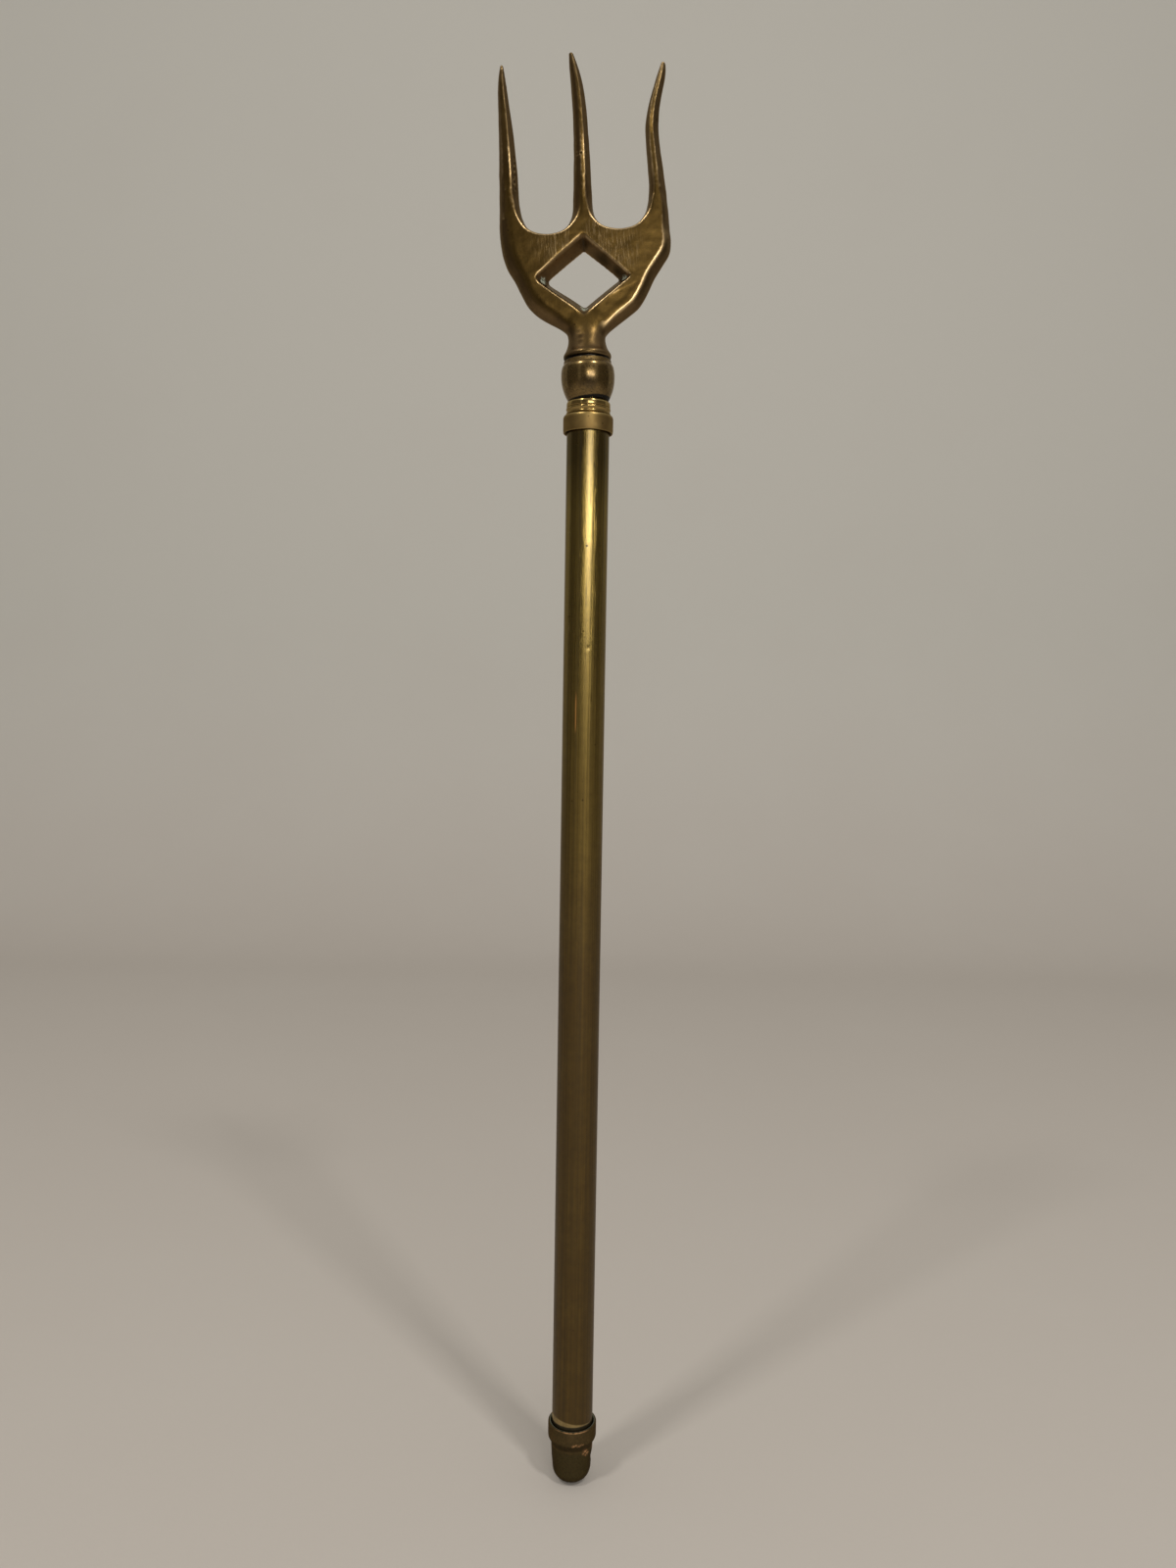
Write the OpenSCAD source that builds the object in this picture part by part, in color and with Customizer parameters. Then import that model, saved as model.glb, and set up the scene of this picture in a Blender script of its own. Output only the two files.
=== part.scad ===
// One-draw telescopic toasting fork in brass, standing upright on its foot.
// Millimetres, +Z up along the handle, palm of the fork facing -Y,
// origin at the lowest point of the foot on the axis of the handle tube.

/* [Handle tube] */
// Outside diameter of the handle tube
tube_od = 12.7; // [12:0.1:15.3]
// Wall of the handle tube
tube_wall = 0.8; // [0.6:0.1:1]
// Length of the handle tube
tube_len = 314.4; // [250:0.1:380]

/* [End cap] */
// Height of the rounded nose of the foot
nose_h = 5; // [5:0.1:8]
// Diameter of the worn flat under the nose
nose_flat_d = 3.6; // [3:0.1:5]
// Diameter of the straight land above the nose
land_d = 12.5; // [10:0.1:13]
// Height of the straight land
land_h = 7.1; // [3:0.1:9]
// Height of the chamfer under the collar
collar_chamfer_h = 2; // [1:0.1:3]
// Wall of the collar outside its recess
collar_wall = 0.7; // [0.5:0.1:1.5]
// Height of the straight side of the collar
collar_h = 5.1; // [4:0.1:8]
// Depth of the recess that takes the end of the handle tube
collar_recess = 4.5; // [2:0.1:6]
// Radial gap between the collar and the handle tube
collar_gap = 0.5; // [0.1:0.05:0.6]
// Length of the spigot inside the handle tube
spigot_len = 14; // [8:0.5:25]

/* [Top ferrule] */
// Wall of the ferrule skirt outside the handle tube
skirt_wall = 1; // [0.6:0.1:2]
// Length of the skirt over the handle tube
skirt_len = 4.9; // [3:0.1:10]
// Thickness of the wide band above the end of the handle tube
web_t = 1; // [0.8:0.1:3]
// Diameter of the drum at the top of the ferrule
drum_d = 12.3; // [11.5:0.1:14]
// Height of the drum, beads included
drum_h = 3.3; // [2.5:0.1:6]
// Radius of each bead round the foot of the drum
bead_r = 0.4; // [0.3:0.05:0.6]
// Edge chamfer of the wide band
band_chamfer = 0.4; // [0.2:0.1:0.5]

/* [Inner tube] */
// Outside diameter of the inner tube
inner_od = 9.5; // [7.6:0.1:9.6]
// Wall of the inner tube
inner_wall = 0.8; // [0.6:0.1:1]
// Length of the inner tube
inner_len = 262; // [200:1:270]
// Radial running clearance of the sliding pieces
slide_gap = 0.08; // [0.04:0.01:0.1]
// Radial clearance of the soldered and screwed joints
fit_gap = 0.05; // [0.02:0.01:0.1]

/* [Stop bush and drag spring] */
// Length of the part of the bush that runs in the handle tube
bush_len = 12; // [8:0.5:20]
// Length of the bush spigot inside the inner tube
bush_spigot_len = 12; // [8:0.5:20]
// Depth of the groove for the drag spring
groove_depth = 0.9; // [0.6:0.05:1.2]
// Width of the groove for the drag spring
groove_w = 3.2; // [2:0.1:5]
// Axial play of the drag spring in its groove
spring_play = 0.1; // [0.05:0.05:0.2]
// Thickness of the drag spring
spring_t = 0.7; // [0.4:0.05:0.8]
// Open angle of the drag spring
spring_slot = 40; // [20:5:90]
// Diameter of the cross pin that holds the bush
pin_d = 1.6; // [1:0.1:2]
// Depth of the pin ends below the surface of the inner tube
pin_sink = 0.2; // [0.1:0.05:0.4]
// Height of the cross pin above the lower end of the inner tube
pin_h = 6; // [4:0.5:8]

/* [Ball knop] */
// Sideways lean of the knop and the fork, towards -X, in degrees
lean = 2.5; // [0:0.1:4]
// Diameter across the bulge of the knop
knop_d = 15.9; // [14.8:0.1:18]
// Height of the bulge
knop_h = 9.8; // [9:0.1:14]
// Height of the widest place of the bulge
knop_wide_h = 7; // [5:0.1:8]
// Radius of the bulge along its height
knop_arc_r = 12; // [11:0.5:20]
// Diameter of the plain band above the bulge
band_d = 14.2; // [13:0.1:15]
// Height of the plain band
band_h = 2.2; // [1.5:0.1:5]
// Depth of the socket that takes the top of the inner tube
socket_depth = 2.2; // [1.5:0.1:3]
// Radial gap round the inner tube in the socket
socket_gap = 0.25; // [0.2:0.05:0.4]
// Least gap between the knop and the ferrule when the fork is closed
rest_gap = 0.06; // [0.03:0.01:0.3]

/* [Stud and plug] */
// Diameter of the stud that joins the fork to the inner tube
stud_d = 4; // [3:0.1:4.4]
// Length of the stud inside the plug
stud_in_plug = 12; // [8:0.5:14]
// Length of the stud inside the neck of the fork
stud_in_head = 6; // [4:0.5:6.5]
// Length of the plug in the top of the inner tube
plug_len = 18; // [16:0.5:30]

/* [Fork head] */
// Width across the shoulders of the fork
head_w = 50.8; // [46:0.2:62]
// Thickness of the palm
palm_t = 5; // [4:0.1:6]
// Width of the bevel round the front of the palm
bevel_w = 2.2; // [1:0.1:2.4]
// Width of the small bevel round the back of the palm
back_bevel_w = 0.7; // [0.3:0.1:1]
// Diameter of the collar under the neck
neck_collar_d = 14.2; // [13:0.1:15]
// Height of the collar under the neck
neck_collar_h = 2; // [1.5:0.1:2.5]
// Diameter of the narrowest place of the neck
neck_d = 10.9; // [9.5:0.1:12]
// Height of the narrowest place of the neck
neck_h = 5.8; // [5:0.1:7]
// Width of the piercing at the front
pierce_w = 28.4; // [20:0.2:30]
// Height of the lower corner of the piercing
pierce_low_h = 12.1; // [11.3:0.1:14]
// Height of the side corners of the piercing
pierce_mid_h = 23.1; // [20:0.1:26]
// Height of the upper corner of the piercing
pierce_top_h = 35.2; // [32:0.1:36]
// Inward draft of the corners of the piercing from front to back
pierce_draft = 3.7; // [1:0.1:4.5]
// Width of the arms below the piercing
arm_w = 7.8; // [6:0.1:9]
// Width of the palm beside the piercing
side_w = 6.2; // [5:0.1:8]
// Height of the widest place of the shoulders
shoulder_h = 32.8; // [30:0.1:35]

/* [Tines] */
// Height of the bottom of the gaps between the tines
crotch_h = 36.8; // [36.3:0.1:42]
// Distance between the roots of neighbouring tines
tine_pitch = 21.8; // [18:0.1:24]
// Width of each tine at its root
tine_root_w = 6; // [5:0.1:7]
// Width of each tine at its tip
tine_tip_w = 1; // [0.8:0.1:2]
// Height of the tip of the left tine
left_tip_h = 82.8; // [72:0.1:97]
// Height of the tip of the middle tine
middle_tip_h = 85; // [72:0.1:97]
// Height of the tip of the right tine
right_tip_h = 82.2; // [72:0.1:97]
// Forward sweep of the tips
tip_sweep = 4.5; // [0:0.1:6]
// Sideways bend of the tip of the left tine
left_bend = -0.9; // [-3:0.1:3]
// Sideways bend of the tip of the middle tine
middle_bend = -1.9; // [-3:0.1:3]
// Sideways bend of the tip of the right tine
right_bend = 3.4; // [-4:0.1:4]
// Inward sag of the right tine below its bend
right_sag = 1.1; // [0:0.1:2]

/* [Hidden] */
$fn = 64;

// Overlap of cutting shapes past the surface that they cut
over = 1;
// Steps of a curve between two of its points
curve_steps = 4;
// Thickness left along a tine, from its root to its tip, as [share of the length, share of the taper]
tine_taper = [[0, 1], [0.15, 0.79], [0.4, 0.58], [0.7, 0.42], [0.9, 0.22], [1, 0]];
// Power of the share of the length by which the sag of a tine lies nearer its tip
sag_skew = 1.3;
// Depth to which a tine runs down inside the palm
tine_bury = 3;
// Steps round the bottom of a gap between two tines
crotch_steps = 14;
// Share of the palm's thickness, from the back, where the front bevel starts
bevel_start = 0.4;
// Width and depth of the groove between the knop and the neck
neck_groove = 0.4;
// Distance between the two beads of the ferrule, in bead radii
bead_step = 2.4;
// Rounding of the collar under the neck, which also sets the steps of the neck's curve
neck_edge = 0.5;
// Depth to which the palm runs down inside the neck
palm_bury = 1;
// Start of the flare from the neck to the arms, outwards and upwards of the narrowest place
flare = [0.9, 2.4];
// Places along the lower side of the piercing where an arm's outside is set, as [share, narrowing]
arm_places = [[0.3, 0], [0.55, 0], [0.82, 0.5]];
// Dip of the edge between waist and shoulder, off the straight line
shoulder_dip = [0.2, -1];
// Swell of the edge below the root of an outer tine
root_swell = [0.3, -5];

tube_r = tube_od / 2;
tube_bore_r = tube_r - tube_wall;
inner_r = inner_od / 2;
inner_bore_r = inner_r - inner_wall;
stud_r = stud_d / 2;
pin_r = pin_d / 2;

// Heights of the handle's joints
land_z = nose_h;
chamfer_z = land_z + land_h;
collar_z = chamfer_z + collar_chamfer_h;
collar_top_z = collar_z + collar_h;
tube_z = collar_top_z - collar_recess;
tube_top_z = tube_z + tube_len;
band_z = tube_top_z - skirt_len;
band_top_z = tube_top_z + web_t;
drum_top_z = band_top_z + drum_h;

collar_r = tube_r + collar_gap + collar_wall;
skirt_r = tube_r + fit_gap + skirt_wall;

// The lower face of the knop, whose lean brings one edge down to the ferrule
knop_arc_x = knop_d / 2 - knop_arc_r;
knop_foot_r = knop_arc_x + sqrt(pow(knop_arc_r, 2) - pow(knop_wide_h, 2));
knop_z = drum_top_z + knop_foot_r * sin(lean) + rest_gap;
knop_total_h = knop_h + band_h;

// The inner tube hangs from the socket of the knop
inner_top_z = knop_z + socket_depth * cos(lean) - inner_r * sin(lean) - fit_gap;
inner_z = inner_top_z - inner_len;
bush_z = inner_z - bush_len;
bush_r = tube_bore_r - slide_gap;
groove_r = bush_r - groove_depth;
groove_z = bush_z + (bush_len - groove_w) / 2;
spring_r = tube_bore_r - slide_gap / 2;

// Middle of the gap between two tines, and the radius of its bottom
gap_r = (tine_pitch - tine_root_w) / 2;
gap_x = tine_pitch / 2;
root_h = crotch_h + gap_r;

function catmull(a, b, c, d, t) =
    (2 * b + (c - a) * t + (2 * a - 5 * b + 4 * c - d) * t * t + (3 * b - a - 3 * c + d) * t * t * t) / 2;

// A smooth curve through the points p
function spline(p) =
    let (last = len(p) - 1)
    [
        for (i = [0 : last - 1], k = [0 : curve_steps - 1])
            catmull(p[max(i - 1, 0)], p[i], p[i + 1], p[min(i + 2, last)], k / curve_steps),
        p[last]
    ];

function mirrored(p) = [for (i = [len(p) - 1 : -1 : 0]) [-p[i].x, p[i].y]];

// An edge of the palm moved inwards by d
function inset(p, d) =
    let (last = len(p) - 1)
    [
        for (i = [0 : last])
            let (along = p[min(i + 1, last)] - p[max(i - 1, 0)])
            p[i] + d * [-along.y, along.x] / norm(along)
    ];

// A point on the outside of the lower arm, at a share f of the piercing's lower side
function arm_point(f, w) =
    let (side = [pierce_w / 2, pierce_mid_h - pierce_low_h], n = [side.y, -side.x] / norm(side))
    [0, pierce_low_h] + f * side + w * n;

// The right edge of the palm, from the neck to the root of the outer tine
function right_edge() =
    let (
        narrowest = [neck_d / 2, neck_h],
        waist = [pierce_w / 2 + side_w, pierce_mid_h],
        shoulder = [head_w / 2, shoulder_h],
        root = [tine_pitch + tine_root_w / 2, root_h]
    )
    spline([
        narrowest - [palm_bury, palm_bury],
        narrowest + flare,
        for (p = arm_places) arm_point(p[0], arm_w - p[1]),
        waist,
        (waist + shoulder) / 2 + shoulder_dip,
        shoulder,
        root + root_swell,
        root
    ]);

// The round bottom of the right gap, from the outer tine to the middle one
function crotch() = [
    for (i = [0 : crotch_steps])
        let (a = 180 * i / crotch_steps)
        [gap_x + gap_r * cos(a), root_h - gap_r * sin(a)]
];

// The closed outline of the palm, moved inwards by d
function palm_outline(d) =
    let (half = concat(inset(right_edge(), d), inset(crotch(), d)))
    concat(half, mirrored(half));

// Joins rings of points into a closed skin, with the ends closed flat
module skin(rings) {
    n = len(rings[0]);
    last = len(rings) - 1;
    sides = [
        for (r = [0 : last - 1], i = [0 : n - 1])
            let (a = r * n + i, b = r * n + (i + 1) % n)
            each [[a, b, b + n], [a, b + n, a + n]]
    ];
    ends = [[for (i = [n - 1 : -1 : 0]) i], [for (i = [0 : n - 1]) last * n + i]];
    polyhedron(points = [for (r = rings, p = r) p], faces = concat(sides, ends));
}

// The flat palm: its outline at four depths, from the bevelled front to the back
module palm() {
    edges = [
        [-palm_t / 2, bevel_w],
        [palm_t / 2 - bevel_start * palm_t, 0],
        [palm_t / 2 - back_bevel_w, 0],
        [palm_t / 2, back_bevel_w]
    ];
    skin([for (e = edges) [for (p = palm_outline(e[1])) [p.x, e[0], p.y]]]);
}

// Ring of a tine, centred on c, of width w and thickness t, with the bevels of the palm
function tine_ring(c, w, t) =
    let (
        front = 1 - 2 * bevel_w / tine_root_w,
        back = 1 - 2 * back_bevel_w / tine_root_w,
        side = [
            [back, 0.5],
            [1, 0.5 - back_bevel_w / palm_t],
            [1, 0.5 - bevel_start],
            [front, -0.5]
        ]
    )
    [for (p = concat(side, mirrored(side))) c + [p.x * w / 2, p.y * t, 0]];

// A tine with its root at x, its tip moved sideways by bend and the stretch below the tip by sag
module tine(x, tip_h, bend, sag) {
    taper = spline(tine_taper);
    buried = tine_ring([x, 0, root_h - tine_bury], tine_root_w - 2 * over, palm_t - 2 * over);
    skin(concat([buried], [
        for (p = taper)
            let (
                s = p.x,
                w = tine_tip_w + (tine_root_w - tine_tip_w) * p.y,
                t = tine_tip_w + (palm_t - tine_tip_w) * p.y,
                sideways = bend * pow(s, 3) - sag * pow(sin(180 * pow(s, sag_skew)), 2),
                height = root_h + (tip_h - root_h) * s
            )
            tine_ring([x + sideways, -tip_sweep * pow(s, 2), height], w, t)
    ]));
}

// The drafted four-cornered hole through the palm
module piercing() {
    slope = pierce_draft / palm_t;
    skin([
        for (y = [-palm_t / 2 - over, palm_t / 2 + over])
            let (d = slope * (y + palm_t / 2), x = pierce_w / 2 - d)
            [
                [0, y, pierce_low_h + d], [x, y, pierce_mid_h],
                [0, y, pierce_top_h - d], [-x, y, pierce_mid_h]
            ]
    ]);
}

// The round neck under the palm, with its collar
module neck() {
    e = neck_edge;
    r = neck_collar_d / 2;
    narrow = neck_d / 2;
    foot = [[0, 0], [r - e, 0], [r, e], [r, neck_collar_h]];
    waist = [[r - e, neck_collar_h + e], [narrow + e / 2, neck_h - 2 * e], [narrow, neck_h], [narrow, neck_h + 4 * e]];
    nose = [[narrow - 2 * e, neck_h + 8 * e], [palm_t / 2, neck_h + 11 * e], [0, neck_h + 11.5 * e]];
    rotate_extrude()
        polygon(concat(foot, spline(waist), nose));
}

module head_casting() {
    difference() {
        union() {
            neck();
            palm();
            tine(-tine_pitch, left_tip_h, left_bend, 0);
            tine(0, middle_tip_h, middle_bend, 0);
            tine(tine_pitch, right_tip_h, right_bend, right_sag);
        }
        piercing();
    }
}

// Puts what stands on the leaning axis in its place, at a height above the knop's lower face
module leaning(h = 0) {
    translate([0, 0, knop_z])
        rotate([0, -lean, 0])
            translate([0, 0, h])
                children();
}

module stud_hole(from, to) {
    translate([0, 0, from])
        cylinder(r = stud_r + fit_gap, h = to - from);
}

module handle_tube() {
    color("darkgoldenrod")
        translate([0, 0, tube_z])
            difference() {
                cylinder(r = tube_r, h = tube_len);
                translate([0, 0, -over])
                    cylinder(r = tube_bore_r, h = tube_len + 2 * over);
            }
}

module top_ferrule() {
    c = band_chamfer;
    color("goldenrod")
        rotate_extrude()
            difference() {
                union() {
                    polygon([
                        [0, band_z], [skirt_r - c, band_z], [skirt_r, band_z + c],
                        [skirt_r, band_top_z - c], [skirt_r - c, band_top_z], [0, band_top_z]
                    ]);
                    translate([0, band_top_z - over])
                        square([drum_d / 2, drum_h + over]);
                    for (i = [0, 1])
                        translate([drum_d / 2, band_top_z + bead_r * (1 + bead_step * i)])
                            circle(r = bead_r);
                }
                translate([-over, band_z - over])
                    square([tube_r + fit_gap + over, skirt_len + over]);
                translate([-over, band_z - over])
                    square([inner_r + slide_gap + over, drum_top_z - band_z + 2 * over]);
            }
}

module end_cap() {
    land_r = land_d / 2;
    bite = land_r - nose_flat_d / 2;
    arc_r = (pow(nose_h, 2) + pow(bite, 2)) / (2 * bite);
    color("saddlebrown")
        rotate_extrude()
            difference() {
                union() {
                    intersection() {
                        translate([land_r - arc_r, land_z])
                            circle(r = arc_r);
                        square([land_r, nose_h]);
                    }
                    square([nose_flat_d / 2, nose_h]);
                    polygon([
                        [0, land_z], [land_r, land_z], [land_r, chamfer_z], [collar_r, collar_z],
                        [collar_r, collar_top_z], [0, collar_top_z]
                    ]);
                    translate([0, tube_z - over])
                        square([tube_bore_r - fit_gap, spigot_len + over]);
                }
                translate([tube_bore_r - fit_gap, tube_z])
                    square([tube_r + collar_gap - tube_bore_r + fit_gap, collar_recess + over]);
            }
}

module drag_spring() {
    color("peru")
        translate([0, 0, groove_z + spring_play])
            rotate([0, 0, spring_slot / 2])
                rotate_extrude(angle = 360 - spring_slot)
                    translate([spring_r - spring_t, 0])
                        square([spring_t, groove_w - 2 * spring_play]);
}

module cross_pin(r, l) {
    translate([0, 0, inner_z + pin_h])
        rotate([0, 90, 0])
            cylinder(r = r, h = l, center = true);
}

module inner_tube() {
    color("gold")
        difference() {
            translate([0, 0, inner_z])
                cylinder(r = inner_r, h = inner_len);
            translate([0, 0, inner_z - over])
                cylinder(r = inner_bore_r, h = inner_len + 2 * over);
            cross_pin(pin_r + fit_gap, inner_od + 2 * over);
        }
}

module stop_bush() {
    color("khaki")
        difference() {
            union() {
                translate([0, 0, bush_z])
                    cylinder(r = bush_r, h = bush_len);
                translate([0, 0, inner_z - over])
                    cylinder(r = inner_bore_r - fit_gap, h = bush_spigot_len + over);
            }
            translate([0, 0, groove_z])
                difference() {
                    cylinder(r = bush_r + over, h = groove_w);
                    translate([0, 0, -over])
                        cylinder(r = groove_r, h = groove_w + 2 * over);
                }
            cross_pin(pin_r + fit_gap, inner_od);
        }
}

module stop_pin() {
    color("dimgray")
        cross_pin(pin_r, inner_od - 2 * pin_sink);
}

module neck_plug() {
    color("burlywood")
        difference() {
            translate([0, 0, inner_top_z - plug_len])
                cylinder(r = inner_bore_r - fit_gap, h = plug_len);
            leaning()
                stud_hole(socket_depth - stud_in_plug - fit_gap, socket_depth + over);
        }
}

module head_stud() {
    color("gray")
        leaning(socket_depth - stud_in_plug)
            cylinder(r = stud_r, h = stud_in_plug - socket_depth + knop_total_h + stud_in_head);
}

module ball_knop() {
    color("sienna")
        leaning()
            difference() {
                rotate_extrude()
                    union() {
                        intersection() {
                            translate([knop_arc_x, knop_wide_h])
                                circle(r = knop_arc_r);
                            square([knop_d, knop_h]);
                        }
                        translate([0, knop_wide_h]) {
                            square([band_d / 2, knop_total_h - neck_groove - knop_wide_h]);
                            square([band_d / 2 - neck_groove, knop_total_h - knop_wide_h]);
                        }
                    }
                stud_hole(-over, knop_total_h + over);
                translate([0, 0, -over])
                    cylinder(r = inner_r + socket_gap, h = socket_depth + over);
            }
}

module fork_head() {
    color("peru")
        leaning(knop_total_h)
            difference() {
                resize([0, 0, max(left_tip_h, middle_tip_h, right_tip_h)])
                    head_casting();
                stud_hole(-over, stud_in_head + fit_gap);
            }
}

handle_tube();
top_ferrule();
end_cap();
drag_spring();
inner_tube();
stop_bush();
stop_pin();
neck_plug();
head_stud();
ball_knop();
fork_head();
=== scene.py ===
"""Looks of a one-draw telescopic toasting fork in aged brass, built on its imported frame.

The fork stands closed and upright: X runs to the right, Y away from the viewer and Z up.
Sizes of pieces and finishes are in millimetres, those of the studio and of all meshes in metres.
"""
import logging
import math
from contextlib import contextmanager
from dataclasses import dataclass, field
from enum import Enum
from typing import Any, Callable, Iterator, Optional, Sequence, Union

import bmesh
import bpy
import numpy as np
from mathutils import Matrix, Vector


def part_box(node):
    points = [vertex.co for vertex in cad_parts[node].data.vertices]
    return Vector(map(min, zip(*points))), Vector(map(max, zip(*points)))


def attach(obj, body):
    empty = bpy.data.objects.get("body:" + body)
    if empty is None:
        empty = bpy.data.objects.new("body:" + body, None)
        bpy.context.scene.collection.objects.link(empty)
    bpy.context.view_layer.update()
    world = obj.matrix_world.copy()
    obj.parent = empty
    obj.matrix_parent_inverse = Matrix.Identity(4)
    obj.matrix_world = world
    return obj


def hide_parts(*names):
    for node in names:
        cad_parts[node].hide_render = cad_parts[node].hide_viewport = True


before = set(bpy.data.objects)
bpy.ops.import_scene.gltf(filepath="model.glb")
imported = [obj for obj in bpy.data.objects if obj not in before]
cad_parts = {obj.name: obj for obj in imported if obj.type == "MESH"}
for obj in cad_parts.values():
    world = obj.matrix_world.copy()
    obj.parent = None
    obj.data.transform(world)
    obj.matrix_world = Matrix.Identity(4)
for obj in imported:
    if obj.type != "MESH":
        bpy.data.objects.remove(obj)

MM = 0.001
# Axis of the ball and head: height of its foot in millimetres, and its lean to the left in degrees
AXIS_FOOT = 333.709
AXIS_LEAN = 2.5
LOG = logging.getLogger("toasting_fork")

Thing = bpy.types.Object
Tree = bpy.types.NodeTree
Socket = bpy.types.NodeSocket
Outputs = bpy.types.bpy_prop_collection
Colour = tuple[float, float, float]
Flat = tuple[float, float]
Corner = tuple[float, float, float]
Spot = tuple[float, float, float, float]
Dent = tuple[Vector, Vector, float]
Feed = Union[Socket, float, Sequence[float]]
Surface = tuple[Feed, Feed, Feed, Feed]


class Body(Enum):
    """Bodies of the frame that the new pieces ride on."""

    HANDLE = "handle"
    FORK = "fork"


class Effect(Enum):
    """Shared surface effects, each one a shader node group."""

    BLOTCHES = "Blotches"
    STREAKS = "Streaks"
    SPECKS = "Specks"
    WEAR = "Edge wear"


# Curves and outlines

def curve_through(stations: Sequence[Sequence[float]], parts: int) -> list[tuple[float, ...]]:
    """Draws a smooth curve through a row of stations.

    Args:
        stations: Rows of numbers; the first two are the place, the rest goes with it.
        parts: How many steps each span is cut into.

    Returns:
        Rows along the curve, the first and last stations included.
    """
    rows = np.array(stations, float)
    gaps = np.linalg.norm(np.diff(rows[:, :2], axis=0), axis=1)[:, None]
    slopes = np.diff(rows, axis=0) / gaps
    lean = np.concatenate([slopes[:1], slopes[:1].repeat(len(rows) - 2, 0), slopes[-1:]])
    lean[1:-1] = (gaps[:-1] * slopes[1:] + gaps[1:] * slopes[:-1]) / (gaps[:-1] + gaps[1:])
    found = []
    for i in range(len(rows) - 1):
        for k in range(parts):
            t = k / parts
            found.append(tuple(
                rows[i] * (2 * t**3 - 3 * t**2 + 1) + lean[i] * gaps[i] * (t**3 - 2 * t**2 + t)
                + rows[i + 1] * (3 * t**2 - 2 * t**3) + lean[i + 1] * gaps[i] * (t**3 - t**2)))
    found.append(tuple(rows[-1]))
    return found


def round_corners(corners: Sequence[Corner], step: float) -> list[Flat]:
    """Rounds the corners of a closed outline and cuts its long sides up.

    Args:
        corners: Two coordinates and the size of the rounding of each corner.
        step: Longest side that is left whole.

    Returns:
        The points of the closed outline.
    """
    bends: list[list[Vector]] = []
    for i, (a, b, size) in enumerate(corners):
        here = Vector((a, b))
        if size <= 0:
            bends.append([here])
            continue
        before = Vector(corners[i - 1][:2]) - here
        after = Vector(corners[(i + 1) % len(corners)][:2]) - here
        start = here + before.normalized() * min(size, before.length * 0.49)
        end = here + after.normalized() * min(size, after.length * 0.49)
        bends.append([start.lerp(here, t).lerp(here.lerp(end, t), t) for t in (0, 0.2, 0.4, 0.6, 0.8, 1)])
    points: list[Flat] = []
    for i, bend in enumerate(bends):
        points += [tuple(p) for p in bend]
        last, nxt = bend[-1], bends[(i + 1) % len(bends)][0]
        cuts = max(1, math.ceil((nxt - last).length / step))
        points += [tuple(last.lerp(nxt, k / cuts)) for k in range(1, cuts)]
    return points


# Work at the bench

def only(*things: Thing) -> None:
    """Selects these objects alone and makes the first one active."""
    bpy.ops.object.select_all(action="DESELECT")
    for thing in things:
        thing.select_set(True)
    bpy.context.view_layer.objects.active = things[0]


@contextmanager
def editing(piece: Thing) -> Iterator[None]:
    """Keeps a piece, alone, in edit mode with its vertices to pick from."""
    only(piece)
    bpy.ops.object.mode_set(mode="EDIT")
    bpy.ops.mesh.select_mode(type="VERT")
    yield
    bpy.ops.object.mode_set(mode="OBJECT")


def pick(piece: Thing, test: Callable[[bmesh.types.BMVert], bool]) -> None:
    """Selects the vertices, in edit mode, that pass a test."""
    work = bmesh.from_edit_mesh(piece.data)
    for vert in work.verts:
        vert.select = test(vert)
    work.select_flush_mode()
    bmesh.update_edit_mesh(piece.data)


def close_up() -> None:
    """Merges doubles and turns all faces outwards, in edit mode."""
    bpy.ops.mesh.select_all(action="SELECT")
    bpy.ops.mesh.remove_doubles(threshold=1e-6)
    bpy.ops.mesh.normals_make_consistent(inside=False)


def apply_modifier(piece: Thing, kind: str, **settings: Any) -> None:
    """Adds a modifier to a piece and applies it at once."""
    only(piece)
    change = piece.modifiers.new(kind.title(), kind)
    for key, value in settings.items():
        setattr(change, key, value)
    bpy.ops.object.modifier_apply(modifier=change.name)


def add_ring(points: Sequence[Sequence[float]]) -> Thing:
    """Adds a circle and lays its vertices, in order, on points given in millimetres."""
    bpy.ops.object.select_all(action="DESELECT")
    bpy.ops.mesh.primitive_circle_add(vertices=len(points), radius=MM)
    ring = bpy.context.active_object
    for vertex, point in zip(ring.data.vertices, points):
        vertex.co = Vector(point) * MM
    return ring


def join(name: str, things: Sequence[Thing]) -> Thing:
    """Joins objects into one and names it."""
    only(*things)
    if len(things) > 1:
        bpy.ops.object.join()
    things[0].name = name
    things[0].data.name = name
    return things[0]


def skin(name: str, rings: Sequence[Sequence[Sequence[float]]]) -> Thing:
    """Bridges rings of points into a closed body with flat ends.

    Args:
        name: Name of the body.
        rings: Rings with the same number of points each, in millimetres, in order.

    Returns:
        The closed body.
    """
    count = len(rings[0])
    body = join(name, [add_ring(ring) for ring in rings])
    with editing(body):
        for k in range(len(rings) - 1):
            pick(body, lambda v: k * count <= v.index < (k + 2) * count)
            bpy.ops.mesh.bridge_edge_loops()
        for k in (0, len(rings) - 1):
            pick(body, lambda v: k * count <= v.index < (k + 1) * count)
            bpy.ops.mesh.edge_face_add()
        close_up()
    return body


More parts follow.
